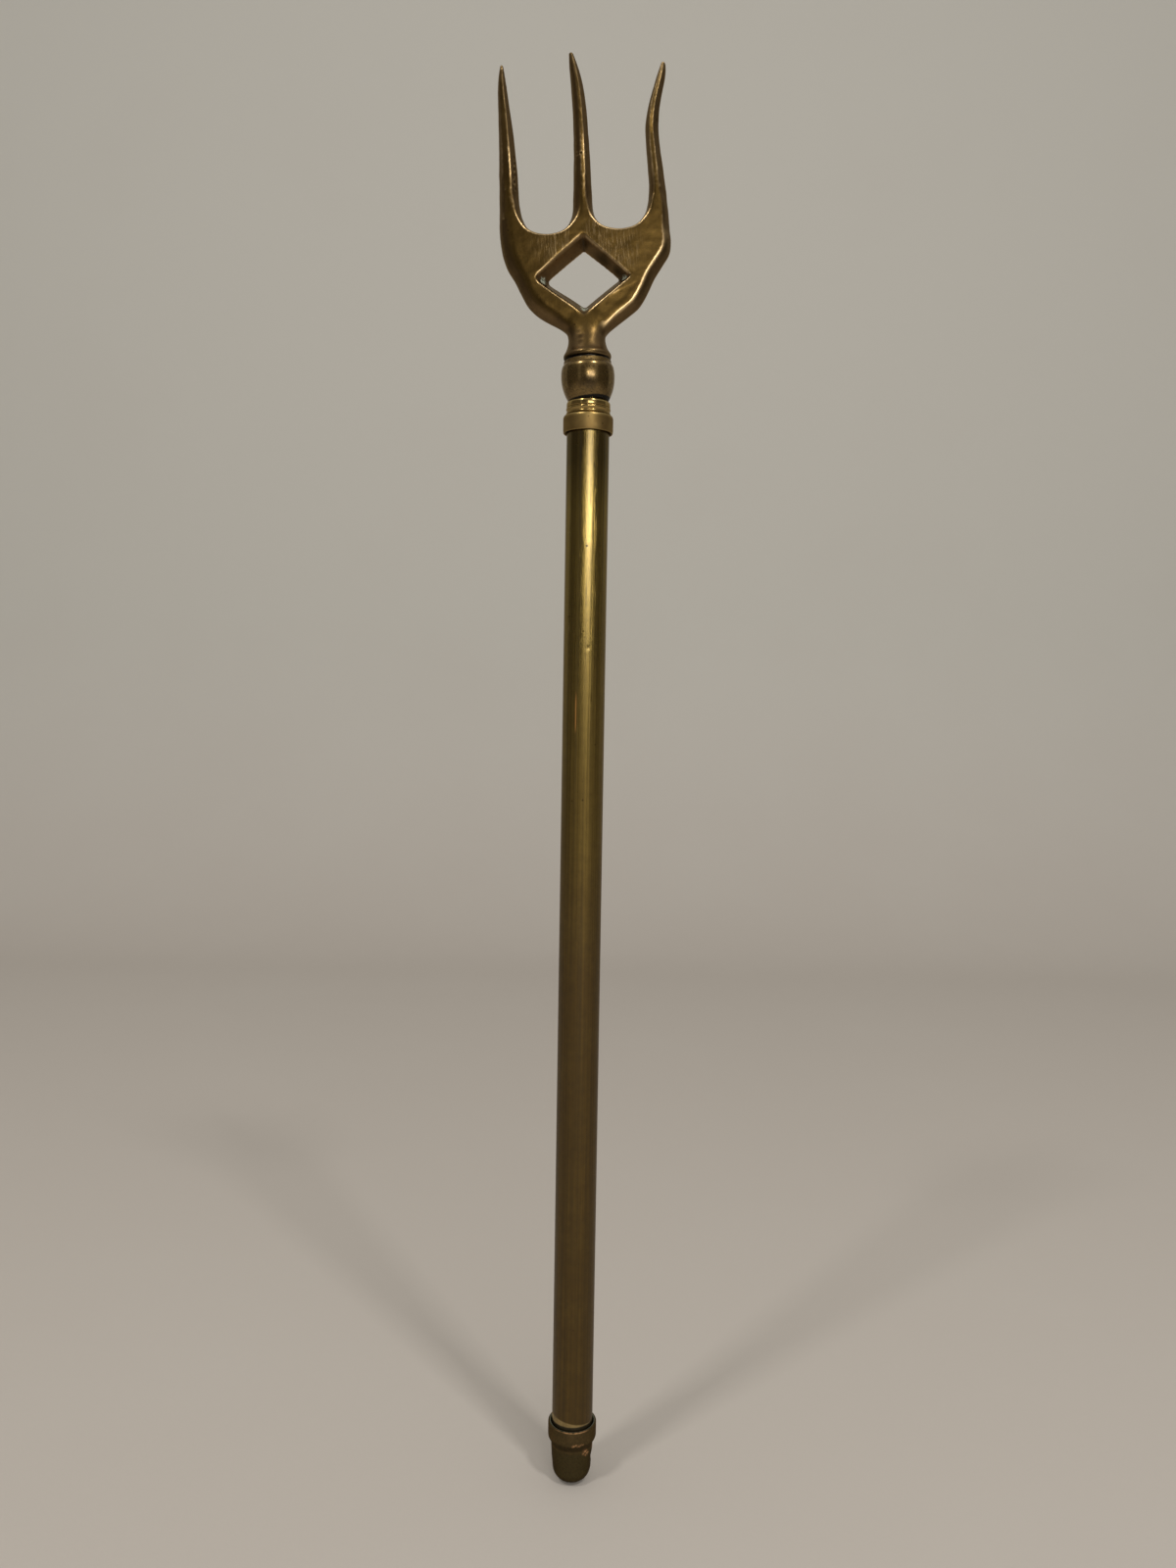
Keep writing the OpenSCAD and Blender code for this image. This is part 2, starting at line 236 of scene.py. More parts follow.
def lathe(name: str, profile: Sequence[Flat], steps: int) -> Thing:
    """Spins a closed profile about the Z axis.

    Args:
        name: Name of the turned body.
        profile: Radius and height of each point, in millimetres.
        steps: Facets round the axis.

    Returns:
        The turned body.
    """
    body = add_ring([(r, 0.0, z) for r, z in profile])
    with editing(body):
        pick(body, lambda v: v.co.x < 1e-9)
        bpy.ops.mesh.delete(type="EDGE_FACE")
        bpy.ops.mesh.select_all(action="SELECT")
        bpy.ops.mesh.spin(steps=steps, angle=math.tau, center=(0, 0, 0), axis=(0, 0, 1))
        close_up()
    return join(name, [body])


def press(piece: Thing, dents: Sequence[Dent]) -> None:
    """Pushes soft dents into a piece, or pulls small bumps out of it.

    Args:
        piece: The piece to work on.
        dents: Place, push and reach of each dent, in millimetres.
    """
    with editing(piece):
        for place, push, reach in dents:
            work = bmesh.from_edit_mesh(piece.data)
            nearest = min(work.verts, key=lambda v: (v.co - place * MM).length_squared).index
            pick(piece, lambda v: v.index == nearest)
            bpy.ops.transform.translate(
                value=push * MM, use_proportional_edit=True, use_proportional_connected=True,
                proportional_edit_falloff="SMOOTH", proportional_size=reach * MM)


def dents_round(radius: float, rows: Sequence[Spot]) -> list[Dent]:
    """Places dents round the Z axis.

    Args:
        radius: Radius that they sit at, in millimetres.
        rows: Angle from the front in degrees, height, depth and reach of each dent.

    Returns:
        The dents, as they are pressed.
    """
    dents = []
    for angle, height, depth, reach in rows:
        side = Vector((math.sin(math.radians(angle)), -math.cos(math.radians(angle)), 0))
        dents.append((side * radius + Vector((0, 0, height)), -side * depth, reach))
    return dents


def tube_size(node: str) -> Corner:
    """Radius, lower and upper end of a tube of the frame, in millimetres."""
    low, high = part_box(node)
    return (high[0] - low[0]) / 2 / MM, low[2] / MM, high[2] / MM


def mark_edges(piece: Thing, rounds: int = 2, bend: float = 0.4) -> None:
    """Writes how sharply a piece bends to its edge attribute: 0.5 is flat, 1 an edge, 0 a hollow.

    Args:
        piece: The finished piece.
        rounds: How often the values are evened out.
        bend: Radius, in millimetres, that counts as a full edge.
    """
    mesh = piece.data
    count = len(mesh.vertices)
    place = np.empty(count * 3)
    mesh.vertices.foreach_get("co", place)
    place = place.reshape(-1, 3)
    normal = np.empty(count * 3, np.float32)
    mesh.vertex_normals.foreach_get("vector", normal)
    normal = normal.reshape(-1, 3)
    ends = np.empty(len(mesh.edges) * 2, np.int32)
    mesh.edges.foreach_get("vertices", ends)
    a, b = ends.reshape(-1, 2).T
    degree = np.maximum(np.bincount(ends, minlength=count), 1)

    def around(values: np.ndarray) -> np.ndarray:
        """Mean of the neighbours' values."""
        return (np.bincount(a, values[b], count) + np.bincount(b, values[a], count)) / degree

    away = place - np.stack([around(place[:, i]) for i in range(3)], 1)
    length = ((place[a] - place[b]) ** 2).sum(1)
    spread = (np.bincount(a, length, count) + np.bincount(b, length, count)) / degree
    curl = (away * normal).sum(1) / np.maximum(spread, 1e-12) * 4 * bend * MM
    value = np.clip(curl, -1, 1)
    for _ in range(rounds):
        value = 0.5 * value + 0.5 * around(value)
    layer = mesh.attributes.new("edge", "FLOAT", "POINT")
    layer.data.foreach_set("value", (0.5 + 0.5 * value).astype(np.float32))


# Shader work

class Graph:
    """Adds nodes to one shader tree and links them."""

    def __init__(self, tree: Tree) -> None:
        """Keeps the tree to work on."""
        self.tree = tree

    def feed(self, socket: Socket, value: Feed) -> None:
        """Links a socket to another one, or sets its value."""
        if isinstance(value, Socket):
            self.tree.links.new(value, socket)
        elif socket.type == "RGBA" and len(value) == 3:
            socket.default_value = (*value, 1.0)
        else:
            socket.default_value = value

    def node(self, kind: str, feeds: Optional[dict] = None, **settings: Any) -> bpy.types.Node:
        """Adds a node.

        Args:
            kind: Blender's name of the node type.
            feeds: Values or sockets for its inputs, by name or number.
            settings: Its other settings.

        Returns:
            The new node.
        """
        made = self.tree.nodes.new(kind)
        for key, value in settings.items():
            setattr(made, key, value)
        for key, value in (feeds or {}).items():
            self.feed(made.inputs[key], value)
        return made

    def math(self, operation: str, a: Feed, b: Feed = 0.0, clamp: bool = False) -> Socket:
        """One sum on two values."""
        return self.node("ShaderNodeMath", {0: a, 1: b}, operation=operation, use_clamp=clamp).outputs[0]

    def vector(self, operation: str, a: Feed, b: Feed = (0.0, 0.0, 0.0)) -> Socket:
        """One sum on two vectors; a length or a distance comes out as a number."""
        made = self.node("ShaderNodeVectorMath", {0: a, 1: b}, operation=operation)
        return made.outputs["Value" if operation in ("LENGTH", "DISTANCE") else "Vector"]

    def fold(self, operation: str, values: Sequence[Feed]) -> Socket:
        """The same sum on one value after another."""
        found = values[0]
        for value in values[1:]:
            found = self.math(operation, found, value)
        return found

    def times(self, *values: Feed) -> Socket:
        """Product of several values."""
        return self.fold("MULTIPLY", values)

    def most(self, *values: Feed) -> Socket:
        """Largest of several values."""
        return self.fold("MAXIMUM", values)

    def plus(self, *values: Feed, clamp: bool = False) -> Socket:
        """Total of several values, held between 0 and 1 if asked."""
        return self.math("ADD", self.fold("ADD", values[:-1]), values[-1], clamp)

    def level(self, value: Feed, low: float, high: float, out_low: float = 0.0, out_high: float = 1.0,
              soft: bool = False) -> Socket:
        """Maps a span of a value to another span, and holds it there."""
        feeds = {"Value": value, "From Min": low, "From Max": high, "To Min": out_low, "To Max": out_high}
        kind = "SMOOTHSTEP" if soft else "LINEAR"
        return self.node("ShaderNodeMapRange", feeds, interpolation_type=kind, clamp=True).outputs[0]

    def span(self, value: Feed, low: float, high: float, out_low: float = 0.0, out_high: float = 1.0,
             soft: bool = False) -> Socket:
        """Level of a coordinate between two places in millimetres."""
        return self.level(value, low * MM, high * MM, out_low, out_high, soft)

    def band(self, value: Feed, middle: float, half: float) -> Socket:
        """Mask that is 1 at a middle value and falls to 0 at half a band away, both in millimetres."""
        gap = self.math("ABSOLUTE", self.math("SUBTRACT", value, middle * MM))
        return self.span(gap, half, half * 0.4, soft=True)

    def blend(self, share: Feed, first: Feed, second: Feed) -> Socket:
        """Mixes two colours."""
        return self.node("ShaderNodeMix", {0: share, 6: first, 7: second}, data_type="RGBA").outputs[2]

    def layers(self, colour: Feed, *coats: Sequence[Feed]) -> Socket:
        """Lays coats over a colour, each one a colour and the masks that make it strong or weak."""
        for paint, *masks in coats:
            colour = self.blend(self.times(*masks), colour, paint)
        return colour

    def place(self, turn: Sequence[float] = (0.0, 0.0, 0.0)) -> Socket:
        """Object coordinates, turned if need be."""
        spot = self.node("ShaderNodeTexCoord").outputs["Object"]
        if any(turn):
            spot = self.node("ShaderNodeMapping", {"Vector": spot, "Rotation": turn}).outputs[0]
        return spot

    def axis(self, vector: Feed, letter: str) -> Socket:
        """One coordinate of a vector."""
        return self.node("ShaderNodeSeparateXYZ", {0: vector}).outputs[letter]

    def radius(self, place: Feed) -> Socket:
        """Distance from the Z axis."""
        return self.vector("LENGTH", self.vector("MULTIPLY", place, (1.0, 1.0, 0.0)))

    def near(self, place: Feed, spot: Spot) -> Socket:
        """Mask that falls from 1 at a spot to 0 at its reach, its fourth number, in millimetres."""
        centre = tuple(c * MM for c in spot[:3])
        return self.span(self.vector("DISTANCE", place, centre), spot[3], 0.0, soft=True)

    def patches(self, place: Feed, spots: Sequence[Spot]) -> Socket:
        """Mask of a number of spots."""
        return self.most(*(self.near(place, spot) for spot in spots))

    def grain(self, place: Feed, scale: Feed, detail: float = 3.0, rough: float = 0.55) -> Socket:
        """Noise value at a place."""
        feeds = {"Vector": place, "Scale": scale, "Detail": detail, "Roughness": rough}
        return self.node("ShaderNodeTexNoise", feeds).outputs[0]

    def rings(self, place: Feed, scale: float) -> Socket:
        """Noise that varies along Z alone, as a lathe tool leaves it."""
        height = self.node("ShaderNodeCombineXYZ", {2: self.axis(place, "Z")}).outputs[0]
        return self.grain(height, scale, 3.0, 0.6)

    def effect(self, kind: Effect, place: Feed, *values: Feed) -> Outputs:
        """Places a shared effect, feeds its inputs in order and returns its outputs."""
        made = self.tree.nodes.new("ShaderNodeGroup")
        made.node_tree = effect_group(kind)
        for socket, value in zip(made.inputs, (place, *values)):
            self.feed(socket, value)
        return made.outputs

    def blotches(self, place: Feed, scale: float, cover: float, softness: float) -> Socket:
        """Mask of cloudy patches."""
        return self.effect(Effect.BLOTCHES, place, scale, cover, softness)["Mask"]

    def streaks(self, place: Feed, across: float, along: float, sharpness: float) -> Socket:
        """Mask of fine lines along Z."""
        return self.effect(Effect.STREAKS, place, across, along, sharpness)["Mask"]

    def specks(self, place: Feed, scale: float, size: float, share: float) -> Socket:
        """Mask of scattered pits or spots."""
        return self.effect(Effect.SPECKS, place, scale, size, share)["Mask"]

    def wear(self, place: Feed, gain: float, start: float, unevenness: float, scale: float) -> Outputs:
        """Masks of the worn edges and the hollows, from the piece's edge attribute."""
        edge = self.node("ShaderNodeAttribute", attribute_name="edge").outputs["Fac"]
        return self.effect(Effect.WEAR, place, edge, gain, start, unevenness, scale)


def effect_group(kind: Effect) -> Tree:
    """Finds the node group of a shared effect, and builds it the first time."""
    found = bpy.data.node_groups.get(kind.value)
    if found:
        return found
    makers = {Effect.BLOTCHES: make_blotches, Effect.STREAKS: make_streaks,
              Effect.SPECKS: make_specks, Effect.WEAR: make_wear}
    tree = bpy.data.node_groups.new(kind.value, "ShaderNodeTree")
    tree.interface.new_socket("Place", in_out="INPUT", socket_type="NodeSocketVector")
    makers[kind](tree)
    return tree


def group_ends(tree: Tree, inputs: dict[str, float], outputs: Sequence[str]
               ) -> tuple[Graph, Any, Any]:
    """Gives a node group its named sockets.

    Args:
        tree: The new group.
        inputs: Its number inputs with their usual values.
        outputs: Its outputs.

    Returns:
        The graph to work with, the sockets that come in and those that go out.
    """
    for name, value in inputs.items():
        tree.interface.new_socket(name, in_out="INPUT", socket_type="NodeSocketFloat").default_value = value
    for name in outputs:
        tree.interface.new_socket(name, in_out="OUTPUT", socket_type="NodeSocketFloat")
    graph = Graph(tree)
    return graph, graph.node("NodeGroupInput").outputs, graph.node("NodeGroupOutput").inputs


def make_blotches(tree: Tree) -> None:
    """Cloudy patches of tarnish with a fine broken rim."""
    graph, given, out = group_ends(tree, {"Scale": 200.0, "Cover": 0.5, "Softness": 0.3}, ["Mask"])
    cloud = graph.grain(given["Place"], given["Scale"], 5.0, 0.6)
    shifted = graph.math("DIVIDE", graph.plus(cloud, given["Cover"], -1.0), given["Softness"])
    graph.feed(out["Mask"], graph.plus(shifted, 0.5, clamp=True))


def make_streaks(tree: Tree) -> None:
    """Fine lines that run along Z, as left by drawing, filing or rubbing."""
    graph, given, out = group_ends(tree, {"Across": 2000.0, "Along": 60.0, "Sharpness": 0.5}, ["Mask"])
    sizes = {0: given["Across"], 1: given["Across"], 2: given["Along"]}
    size = graph.node("ShaderNodeCombineXYZ", sizes).outputs[0]
    lines = graph.grain(graph.vector("MULTIPLY", given["Place"], size), 1.0, 4.0, 0.62)
    gain = graph.plus(graph.times(given["Sharpness"], 5.0), 1.0)
    graph.feed(out["Mask"], graph.plus(graph.times(graph.plus(lines, -0.5), gain), 0.5, clamp=True))


def make_specks(tree: Tree) -> None:
    """Small round pits or spots of uneven size, thinly scattered."""
    graph, given, out = group_ends(tree, {"Scale": 800.0, "Size": 0.2, "Share": 0.3}, ["Mask"])
    noise = {"Vector": given["Place"], "Scale": 2600.0, "Detail": 2.0}
    wobble = graph.node("ShaderNodeTexNoise", noise).outputs[1]
    push = graph.vector("MULTIPLY", wobble, (0.00022, 0.00022, 0.00022))
    spot = graph.vector("ADD", given["Place"], push)
    cells = graph.node("ShaderNodeTexVoronoi", {"Vector": spot, "Scale": given["Scale"]})
    chance = graph.node("ShaderNodeSeparateColor", {0: cells.outputs["Color"]}).outputs
    chosen = graph.math("LESS_THAN", chance[0], given["Share"])
    reach = graph.times(given["Size"], graph.math("ADD", chance[1], 0.35))
    inside = graph.math("SUBTRACT", 1.0, graph.math("DIVIDE", cells.outputs["Distance"], reach), clamp=True)
    graph.feed(out["Mask"], graph.times(chosen, graph.level(inside, 0.0, 0.5, soft=True)))


def make_wear(tree: Tree) -> None:
    """Bright rubbed edges and dirt in hollows, both broken up unevenly."""
    inputs = {"Edge": 0.5, "Gain": 6.0, "Start": 0.06, "Unevenness": 0.5, "Scale": 500.0}
    graph, given, out = group_ends(tree, inputs, ["Worn", "Hollow"])
    rag = graph.math("SUBTRACT", graph.grain(given["Place"], given["Scale"], 4.0, 0.6), 0.5)
    rag = graph.times(rag, given["Unevenness"], 2.0)
    bend = graph.math("SUBTRACT", given["Edge"], 0.5)
    for name, value in (("Worn", bend), ("Hollow", graph.times(bend, -1.0))):
        strong = graph.times(graph.math("SUBTRACT", value, given["Start"]), given["Gain"])
        graph.feed(out[name], graph.plus(graph.times(strong, graph.plus(rag, 1.0)), 0.0, clamp=True))


# Finishes

@dataclass(frozen=True)
class Finish:
    """A finish, named by the record's slot that it stands for; its relief is in millimetres."""

    slot: str = "plain"
    rim: Colour = (0.8, 0.74, 0.64)
    coat: Flat = (0.0, 0.2)
    depth: float = 0.006

    def material(self) -> bpy.types.Material:
        """Finds the finish's material, and builds it the first time."""
        made = bpy.data.materials.get("look_" + self.slot)
        if made:
            return made
        made = bpy.data.materials.new("look_" + self.slot)
        made.use_nodes = True
        made.node_tree.nodes.clear()
        graph = Graph(made.node_tree)
        colour, rough, metal, relief = self.paint(graph)
        bump = graph.node("ShaderNodeBump", {"Height": relief, "Distance": self.depth * MM, "Strength": 1.0})
        shader = graph.node("ShaderNodeBsdfPrincipled", {
            "Base Color": colour, "Roughness": rough, "Metallic": metal, "Normal": bump.outputs[0],
            "Specular Tint": self.rim, "Coat Weight": self.coat[0], "Coat Roughness": self.coat[1]})
        graph.node("ShaderNodeOutputMaterial", {"Surface": shader.outputs[0]})
        return made

    def paint(self, graph: Graph) -> Surface:
        """Mixes the surface's colour, roughness, share of bare metal and relief."""
        raise NotImplementedError

    def dress(self, piece: Thing) -> None:
        """Puts the finish on a piece."""
        piece.data.materials.clear()
        piece.data.materials.append(self.material())


@dataclass(frozen=True)
class DrawnBrass(Finish):
    """Drawn tube: glossy gold at the top, duller and browner towards the foot."""

    slot: str = "drawn_brass"
    rim: Colour = (0.6, 0.55, 0.45)
    coat: Flat = (0.35, 0.2)
    depth: float = 0.042
    gold: Colour = (0.325, 0.23, 0.058)
    brown: Colour = (0.107, 0.062, 0.012)
    dark: Colour = (0.035, 0.023, 0.008)
    bright: Colour = (0.36, 0.26, 0.105)
    # Painted shade: near black for the shaded gap at the tube's foot.
    gap_shade: Colour = (0.012, 0.011, 0.007)
    copper: Colour = (0.75, 0.36, 0.1)
    spots: tuple[Spot, ...] = (
        (0.2, -6.35, 290.5, 0.5), (-0.5, -6.33, 265.5, 0.5), (-4.7, -4.27, 270.0, 0.5),
        (-4.75, -4.21, 294.0, 0.4), (1.1, -6.25, 261.0, 0.45), (3.6, -5.2, 232.0, 0.45),
        (-3.0, -5.6, 215.0, 0.4))
    dull_below: float = 156.0
    gloss_above: float = 292.0
    # Painted shade with some dirt: the tube is darkened just below the ferrule.
    shade_and_dirt_below_ferrule: Flat = (301.0, 316.0)
    scratch: Flat = (-2.3, 241.5)
    scratch_half: Flat = (0.24, 7.0)
    # Painted shade: a dark band on the tube's end just above the cap, standing in for the shaded gap there.
    grime_and_shade: Flat = (20.45, 20.15)
    crescent: Flat = (21.3, -0.16)
    crescent_fade: float = 0.25

    def paint(self, graph: Graph) -> Surface:
        """Mixes the streaked skin, the marks of use, painted shade with some dirt below the ferrule, and
        painted shade at the tube's foot.
        """
        place = graph.place()
        across, height = graph.axis(place, "X"), graph.axis(place, "Z")
        cloud = graph.blotches(place, scale=60.0, cover=0.5, softness=0.6)
        gloss = graph.plus(graph.span(height, self.dull_below, self.gloss_above),
                           graph.times(graph.plus(cloud, -0.5), 0.3), clamp=True)
        lines = graph.streaks(place, across=1500.0, along=14.0, sharpness=0.5)
        fine = graph.streaks(place, across=5200.0, along=45.0, sharpness=0.4)
        drawn = graph.streaks(place, across=700.0, along=6.0, sharpness=0.9)
        mottle = graph.blotches(place, scale=420.0, cover=0.42, softness=0.35)
        specks = graph.most(graph.specks(place, scale=330.0, size=0.15, share=0.1),
                            graph.patches(place, self.spots))
        line = graph.plus(graph.times(across, self.crescent[1]), self.crescent[0] * MM)
        fade = self.crescent_fade
        clean = graph.span(graph.math("SUBTRACT", line, height), -fade, fade, soft=True)
        scratch = graph.times(graph.band(across, self.scratch[0], self.scratch_half[0]),
                              graph.band(height, self.scratch[1], self.scratch_half[1]),
                              graph.span(graph.axis(place, "Y"), 0.0, -1.0))
        colour = graph.layers(
            graph.blend(gloss, self.brown, self.gold),
            (self.dark, lines, graph.level(gloss, 0.0, 1.0, 0.4, 0.36)), (self.dark, drawn, 0.22),
            (self.dark, mottle, graph.level(gloss, 0.0, 1.0, 0.3, 0.12)), (self.dark, specks, 0.75),
            # painted shade with some dirt just below the ferrule
            (self.copper, scratch), (self.dark, graph.span(height, *self.shade_and_dirt_below_ferrule, 0.0, 0.58)),
            (self.bright, clean, graph.level(graph.grain(place, 500.0, 3.0), 0.3, 0.5, 0.5, 0.9)),
            # painted shade in the gap just above the cap
            (self.gap_shade, graph.span(height, *self.grime_and_shade), 0.92))
        rough = graph.plus(graph.level(gloss, 0.0, 1.0, 0.5, 0.22), graph.times(graph.plus(fine, -0.5), 0.1),
                           graph.times(specks, 0.2), clamp=True)
        relief = graph.plus(graph.times(fine, 0.35), graph.times(lines, 0.65), graph.times(specks, -0.25))
        return colour, rough, graph.level(gloss, 0.0, 0.8, 0.8, 1.0), relief


@dataclass(frozen=True)
class TurnedBrass(Finish):
    """Turned fitting with rubbed high places, brown film and dirt in its grooves."""

    slot: str = "turned_brass"
    depth: float = 0.004
    film: Colour = (0.175, 0.112, 0.04)
    rubbed: Colour = (0.52, 0.375, 0.14)
    dirt: Colour = (0.016, 0.012, 0.006)
    handled: Flat = (329.0, 330.0)

    def paint(self, graph: Graph) -> Surface:
        """Mixes the film, the rubbed drum and beads, and the dirt between them."""
        place = graph.place()
        worn = graph.wear(place, gain=5.0, start=0.06, unevenness=0.8, scale=300.0)
        cloud = graph.blotches(place, scale=260.0, cover=0.46, softness=0.5)
        specks = graph.specks(place, scale=700.0, size=0.2, share=0.2)
        handled = graph.span(graph.axis(place, "Z"), *self.handled)
        colour = graph.layers(
            self.film, (self.rubbed, graph.most(graph.times(cloud, 0.3), graph.times(handled, 0.5))),
            (self.dirt, specks, 0.6), (self.rubbed, worn["Worn"], 0.8), (self.dirt, worn["Hollow"]))
        rough = graph.plus(graph.level(cloud, 0.0, 1.0, 0.52, 0.44),
                           graph.times(graph.most(handled, worn["Worn"]), -0.3),
                           graph.times(worn["Hollow"], 0.3), clamp=True)
        relief = graph.plus(graph.times(graph.rings(place, 5200.0), 0.5), graph.times(specks, -1.0))
        return colour, rough, graph.level(worn["Hollow"], 0.0, 1.0, 1.0, 0.4), relief


@dataclass(frozen=True)
class KnopBrass(Finish):
    """Ball with a mottled dark brown skin, fine specks and a few rubbed places."""

    slot: str = "knop_brass"
    coat: Flat = (0.3, 0.2)
    skin: Colour = (0.17, 0.108, 0.037)
    light: Colour = (0.3, 0.2, 0.07)
    dirt: Colour = (0.025, 0.017, 0.008)
    rubbed: Colour = (0.5, 0.36, 0.13)
    # Painted shade: near black for the shaded gaps under the ball and in its top seam.
    gap_shade: Colour = (0.008, 0.006, 0.004)
    # Painted reflection: a dark patch below the ball's highlight, where the ball would otherwise mirror the
    # pale floor.
    dark_reflection: Spot = (0.2, -7.2, 337.6, 4.2)
    band: Flat = (AXIS_FOOT + 10.35, AXIS_FOOT + 10.6)
    seam: Flat = (AXIS_FOOT + 11.3, AXIS_FOOT + 11.55)

    def paint(self, graph: Graph) -> Surface:
        """Mixes the mottled skin, painted shade under the ball and in its top seam, and a painted dark
        reflection below the highlight.
        """
        place = graph.place()
        across = graph.axis(place, "X")
        worn = graph.wear(place, gain=3.0, start=0.14, unevenness=0.7, scale=600.0)
        cloud = graph.blotches(place, scale=330.0, cover=0.5, softness=0.35)
        fine = graph.blotches(place, scale=1500.0, cover=0.46, softness=0.3)
        pits = graph.specks(place, scale=1300.0, size=0.3, share=0.35)
        # Painted shade under the ball, reaching higher on the right, where the gap to the ferrule opens
        # wider.
        rise = graph.math("SUBTRACT", graph.axis(place, "Z"),
                          graph.times(across, math.tan(math.radians(AXIS_LEAN))))
        reach = graph.level(across, -6.0 * MM, 3.0 * MM, 0.15 * MM, 0.85 * MM)
        under = graph.math("DIVIDE", graph.math("SUBTRACT", rise, AXIS_FOOT * MM), reach)
        under = graph.level(under, 1.2, 0.7, soft=True)
        # The layers end with painted shade under the ball and in its top seam.
        colour = graph.layers(
            self.skin, (self.light, cloud, 0.7), (self.dirt, fine, 0.5), (self.dirt, pits, 0.7),
            (self.rubbed, worn["Worn"], 0.5), (self.dirt, worn["Hollow"]), (self.gap_shade, under),
            # painted dark reflection below the highlight
            (self.dirt, graph.near(place, self.dark_reflection), graph.level(cloud, 0.0, 1.0, 0.8, 0.45)),
            (self.gap_shade, graph.span(rise, *self.seam)))
        band = graph.times(graph.span(rise, *self.band), 0.5)
        rough = graph.plus(graph.level(fine, 0.0, 1.0, 0.2, 0.34), graph.times(worn["Hollow"], 0.3),
                           graph.times(graph.most(under, band), 0.5), clamp=True)
        relief = graph.plus(graph.times(fine, -0.3), graph.times(pits, -1.0))
        return colour, rough, graph.level(worn["Hollow"], 0.0, 1.0, 1.0, 0.4), relief


@dataclass(frozen=True)
class CastBrass(Finish):
    """Cast and filed head: brown skin, bare edges, file marks, pits and green salts in corners."""

    slot: str = "cast_brass"
    depth: float = 0.022
    brown: Colour = (0.066, 0.039, 0.0105)
    golden: Colour = (0.11, 0.067, 0.018)
    # Painted light: faces that turn sideways get this lighter brass, lifting their shade.
    lit_flank: Colour = (0.17, 0.11, 0.05)
    dark: Colour = (0.025, 0.016, 0.007)
    bare: Colour = (0.70, 0.50, 0.26)
    green: Colour = (0.30, 0.33, 0.26)
    file_lean: float = 4.5
    salt_spots: tuple[Spot, ...] = (
        (-13.8, -0.2, 368.5, 1.9), (10.25, -0.2, 369.5, 1.7), (-1.55, 0.2, 360.4, 1.8),
        (-2.4, 1.2, 361.0, 1.2))
    filed_spots: tuple[Spot, ...] = (
        (-10.5, -2.5, 378.0, 9.0), (7.5, -2.5, 377.5, 10.0), (2.0, -2.5, 383.0, 6.0))
    # Dark rough patches, dirt and painted shade: they dim the neck's left side, the lower left palm and the
    # piercing's walls.
    grime_and_shade_spots: tuple[Spot, ...] = (
        (-2.6, -5.0, 349.6, 2.2), (-2.8, -4.6, 351.4, 2.3), (-3.1, -4.2, 353.4, 2.4),
        (-8.0, -3.0, 358.0, 4.0), (4.2, 0.5, 375.5, 5.0), (8.0, 0.0, 371.5, 3.5), (-1.8, 0.0, 380.0, 2.4))
    dull_spots: tuple[Spot, ...] = (
        (-13.0, -2.5, 388.0, 6.0), (-7.5, -2.5, 390.0, 6.0), (9.0, -2.5, 389.0, 7.0),
        (15.5, -2.5, 392.0, 7.0))
    # Painted shade: the foot of the head is darkened in the seam above the ball.
    seat: Flat = (346.3, 345.9)
    neck: Flat = (350.0, 356.0)
    open_hollows: Flat = (352.0, 362.0)
    tips: Flat = (404.0, 412.0)
    tips_across: Flat = (6.0, 2.0)
    arm: Flat = (370.5, 367.5)
    arm_across: Flat = (-1.5, -3.5)
    # Rubbed shoulder, laid where the normals catch the front lamp: wear and painted highlight.
    shoulder_slope: Flat = (0.75, -0.65)
    shoulder_low: Flat = (351.5, 361.0)
    shoulder_high: Flat = (386.0, 380.0)
    shoulder_across: Flat = (2.0, 5.0)

    def paint(self, graph: Graph) -> Surface:
        """Mixes the skin of the faces and lighter flanks (painted light), then lays wear, dirt, painted
        shade, a painted highlight and salts over it.
        """
        spot = graph.place()
        filing = graph.place((0.0, math.radians(self.file_lean), 0.0))
        across, height = graph.axis(spot, "X"), graph.axis(spot, "Z")
        normal = graph.node("ShaderNodeTexCoord").outputs["Normal"]
        facing = graph.axis(normal, "Y")
        flat = graph.level(graph.math("ABSOLUTE", facing), 0.8, 0.97)
        worn = graph.wear(spot, gain=5.0, start=0.07, unevenness=1.2, scale=140.0)
        cloud = graph.blotches(spot, scale=110.0, cover=0.5, softness=0.6)
        fine = graph.blotches(spot, scale=900.0, cover=0.42, softness=0.4)
        brush = graph.streaks(filing, across=5200.0, along=60.0, sharpness=0.4)
        pits = graph.specks(spot, scale=700.0, size=0.2, share=0.08)
        marks = graph.streaks(filing, across=3000.0, along=230.0, sharpness=0.6)
        filed = graph.times(graph.level(facing, -0.8, -0.97), graph.patches(spot, self.filed_spots),
                            graph.level(marks, 0.5, 0.85))
        salts = graph.times(graph.level(graph.patches(spot, self.salt_spots), 0.1, 0.5),
                            graph.level(graph.grain(spot, 1300.0, 4.0, 0.65), 0.42, 0.52),
                            graph.level(facing, -0.95, -0.75))
        # Painted shade with dirt: dark, rough patches that dim the reflections there.
        grime_and_shade = graph.times(graph.patches(spot, self.grime_and_shade_spots), graph.level(facing, -0.99, -0.9),
                            graph.level(facing, 0.9, 0.6))
        hollow = graph.times(worn["Hollow"], graph.span(height, *self.open_hollows, 0.15, 0.65))
        bared = graph.times(worn["Worn"], graph.span(height, *self.neck, 0.1, 0.62),
                            graph.level(self.dulled(graph, spot, across, height), 0.0, 1.0, 1.0, 0.3))
        # The rubbed shoulder is partly a painted highlight.
        bared = graph.most(bared, graph.times(self.shoulder(graph, normal, across, height), 0.9))
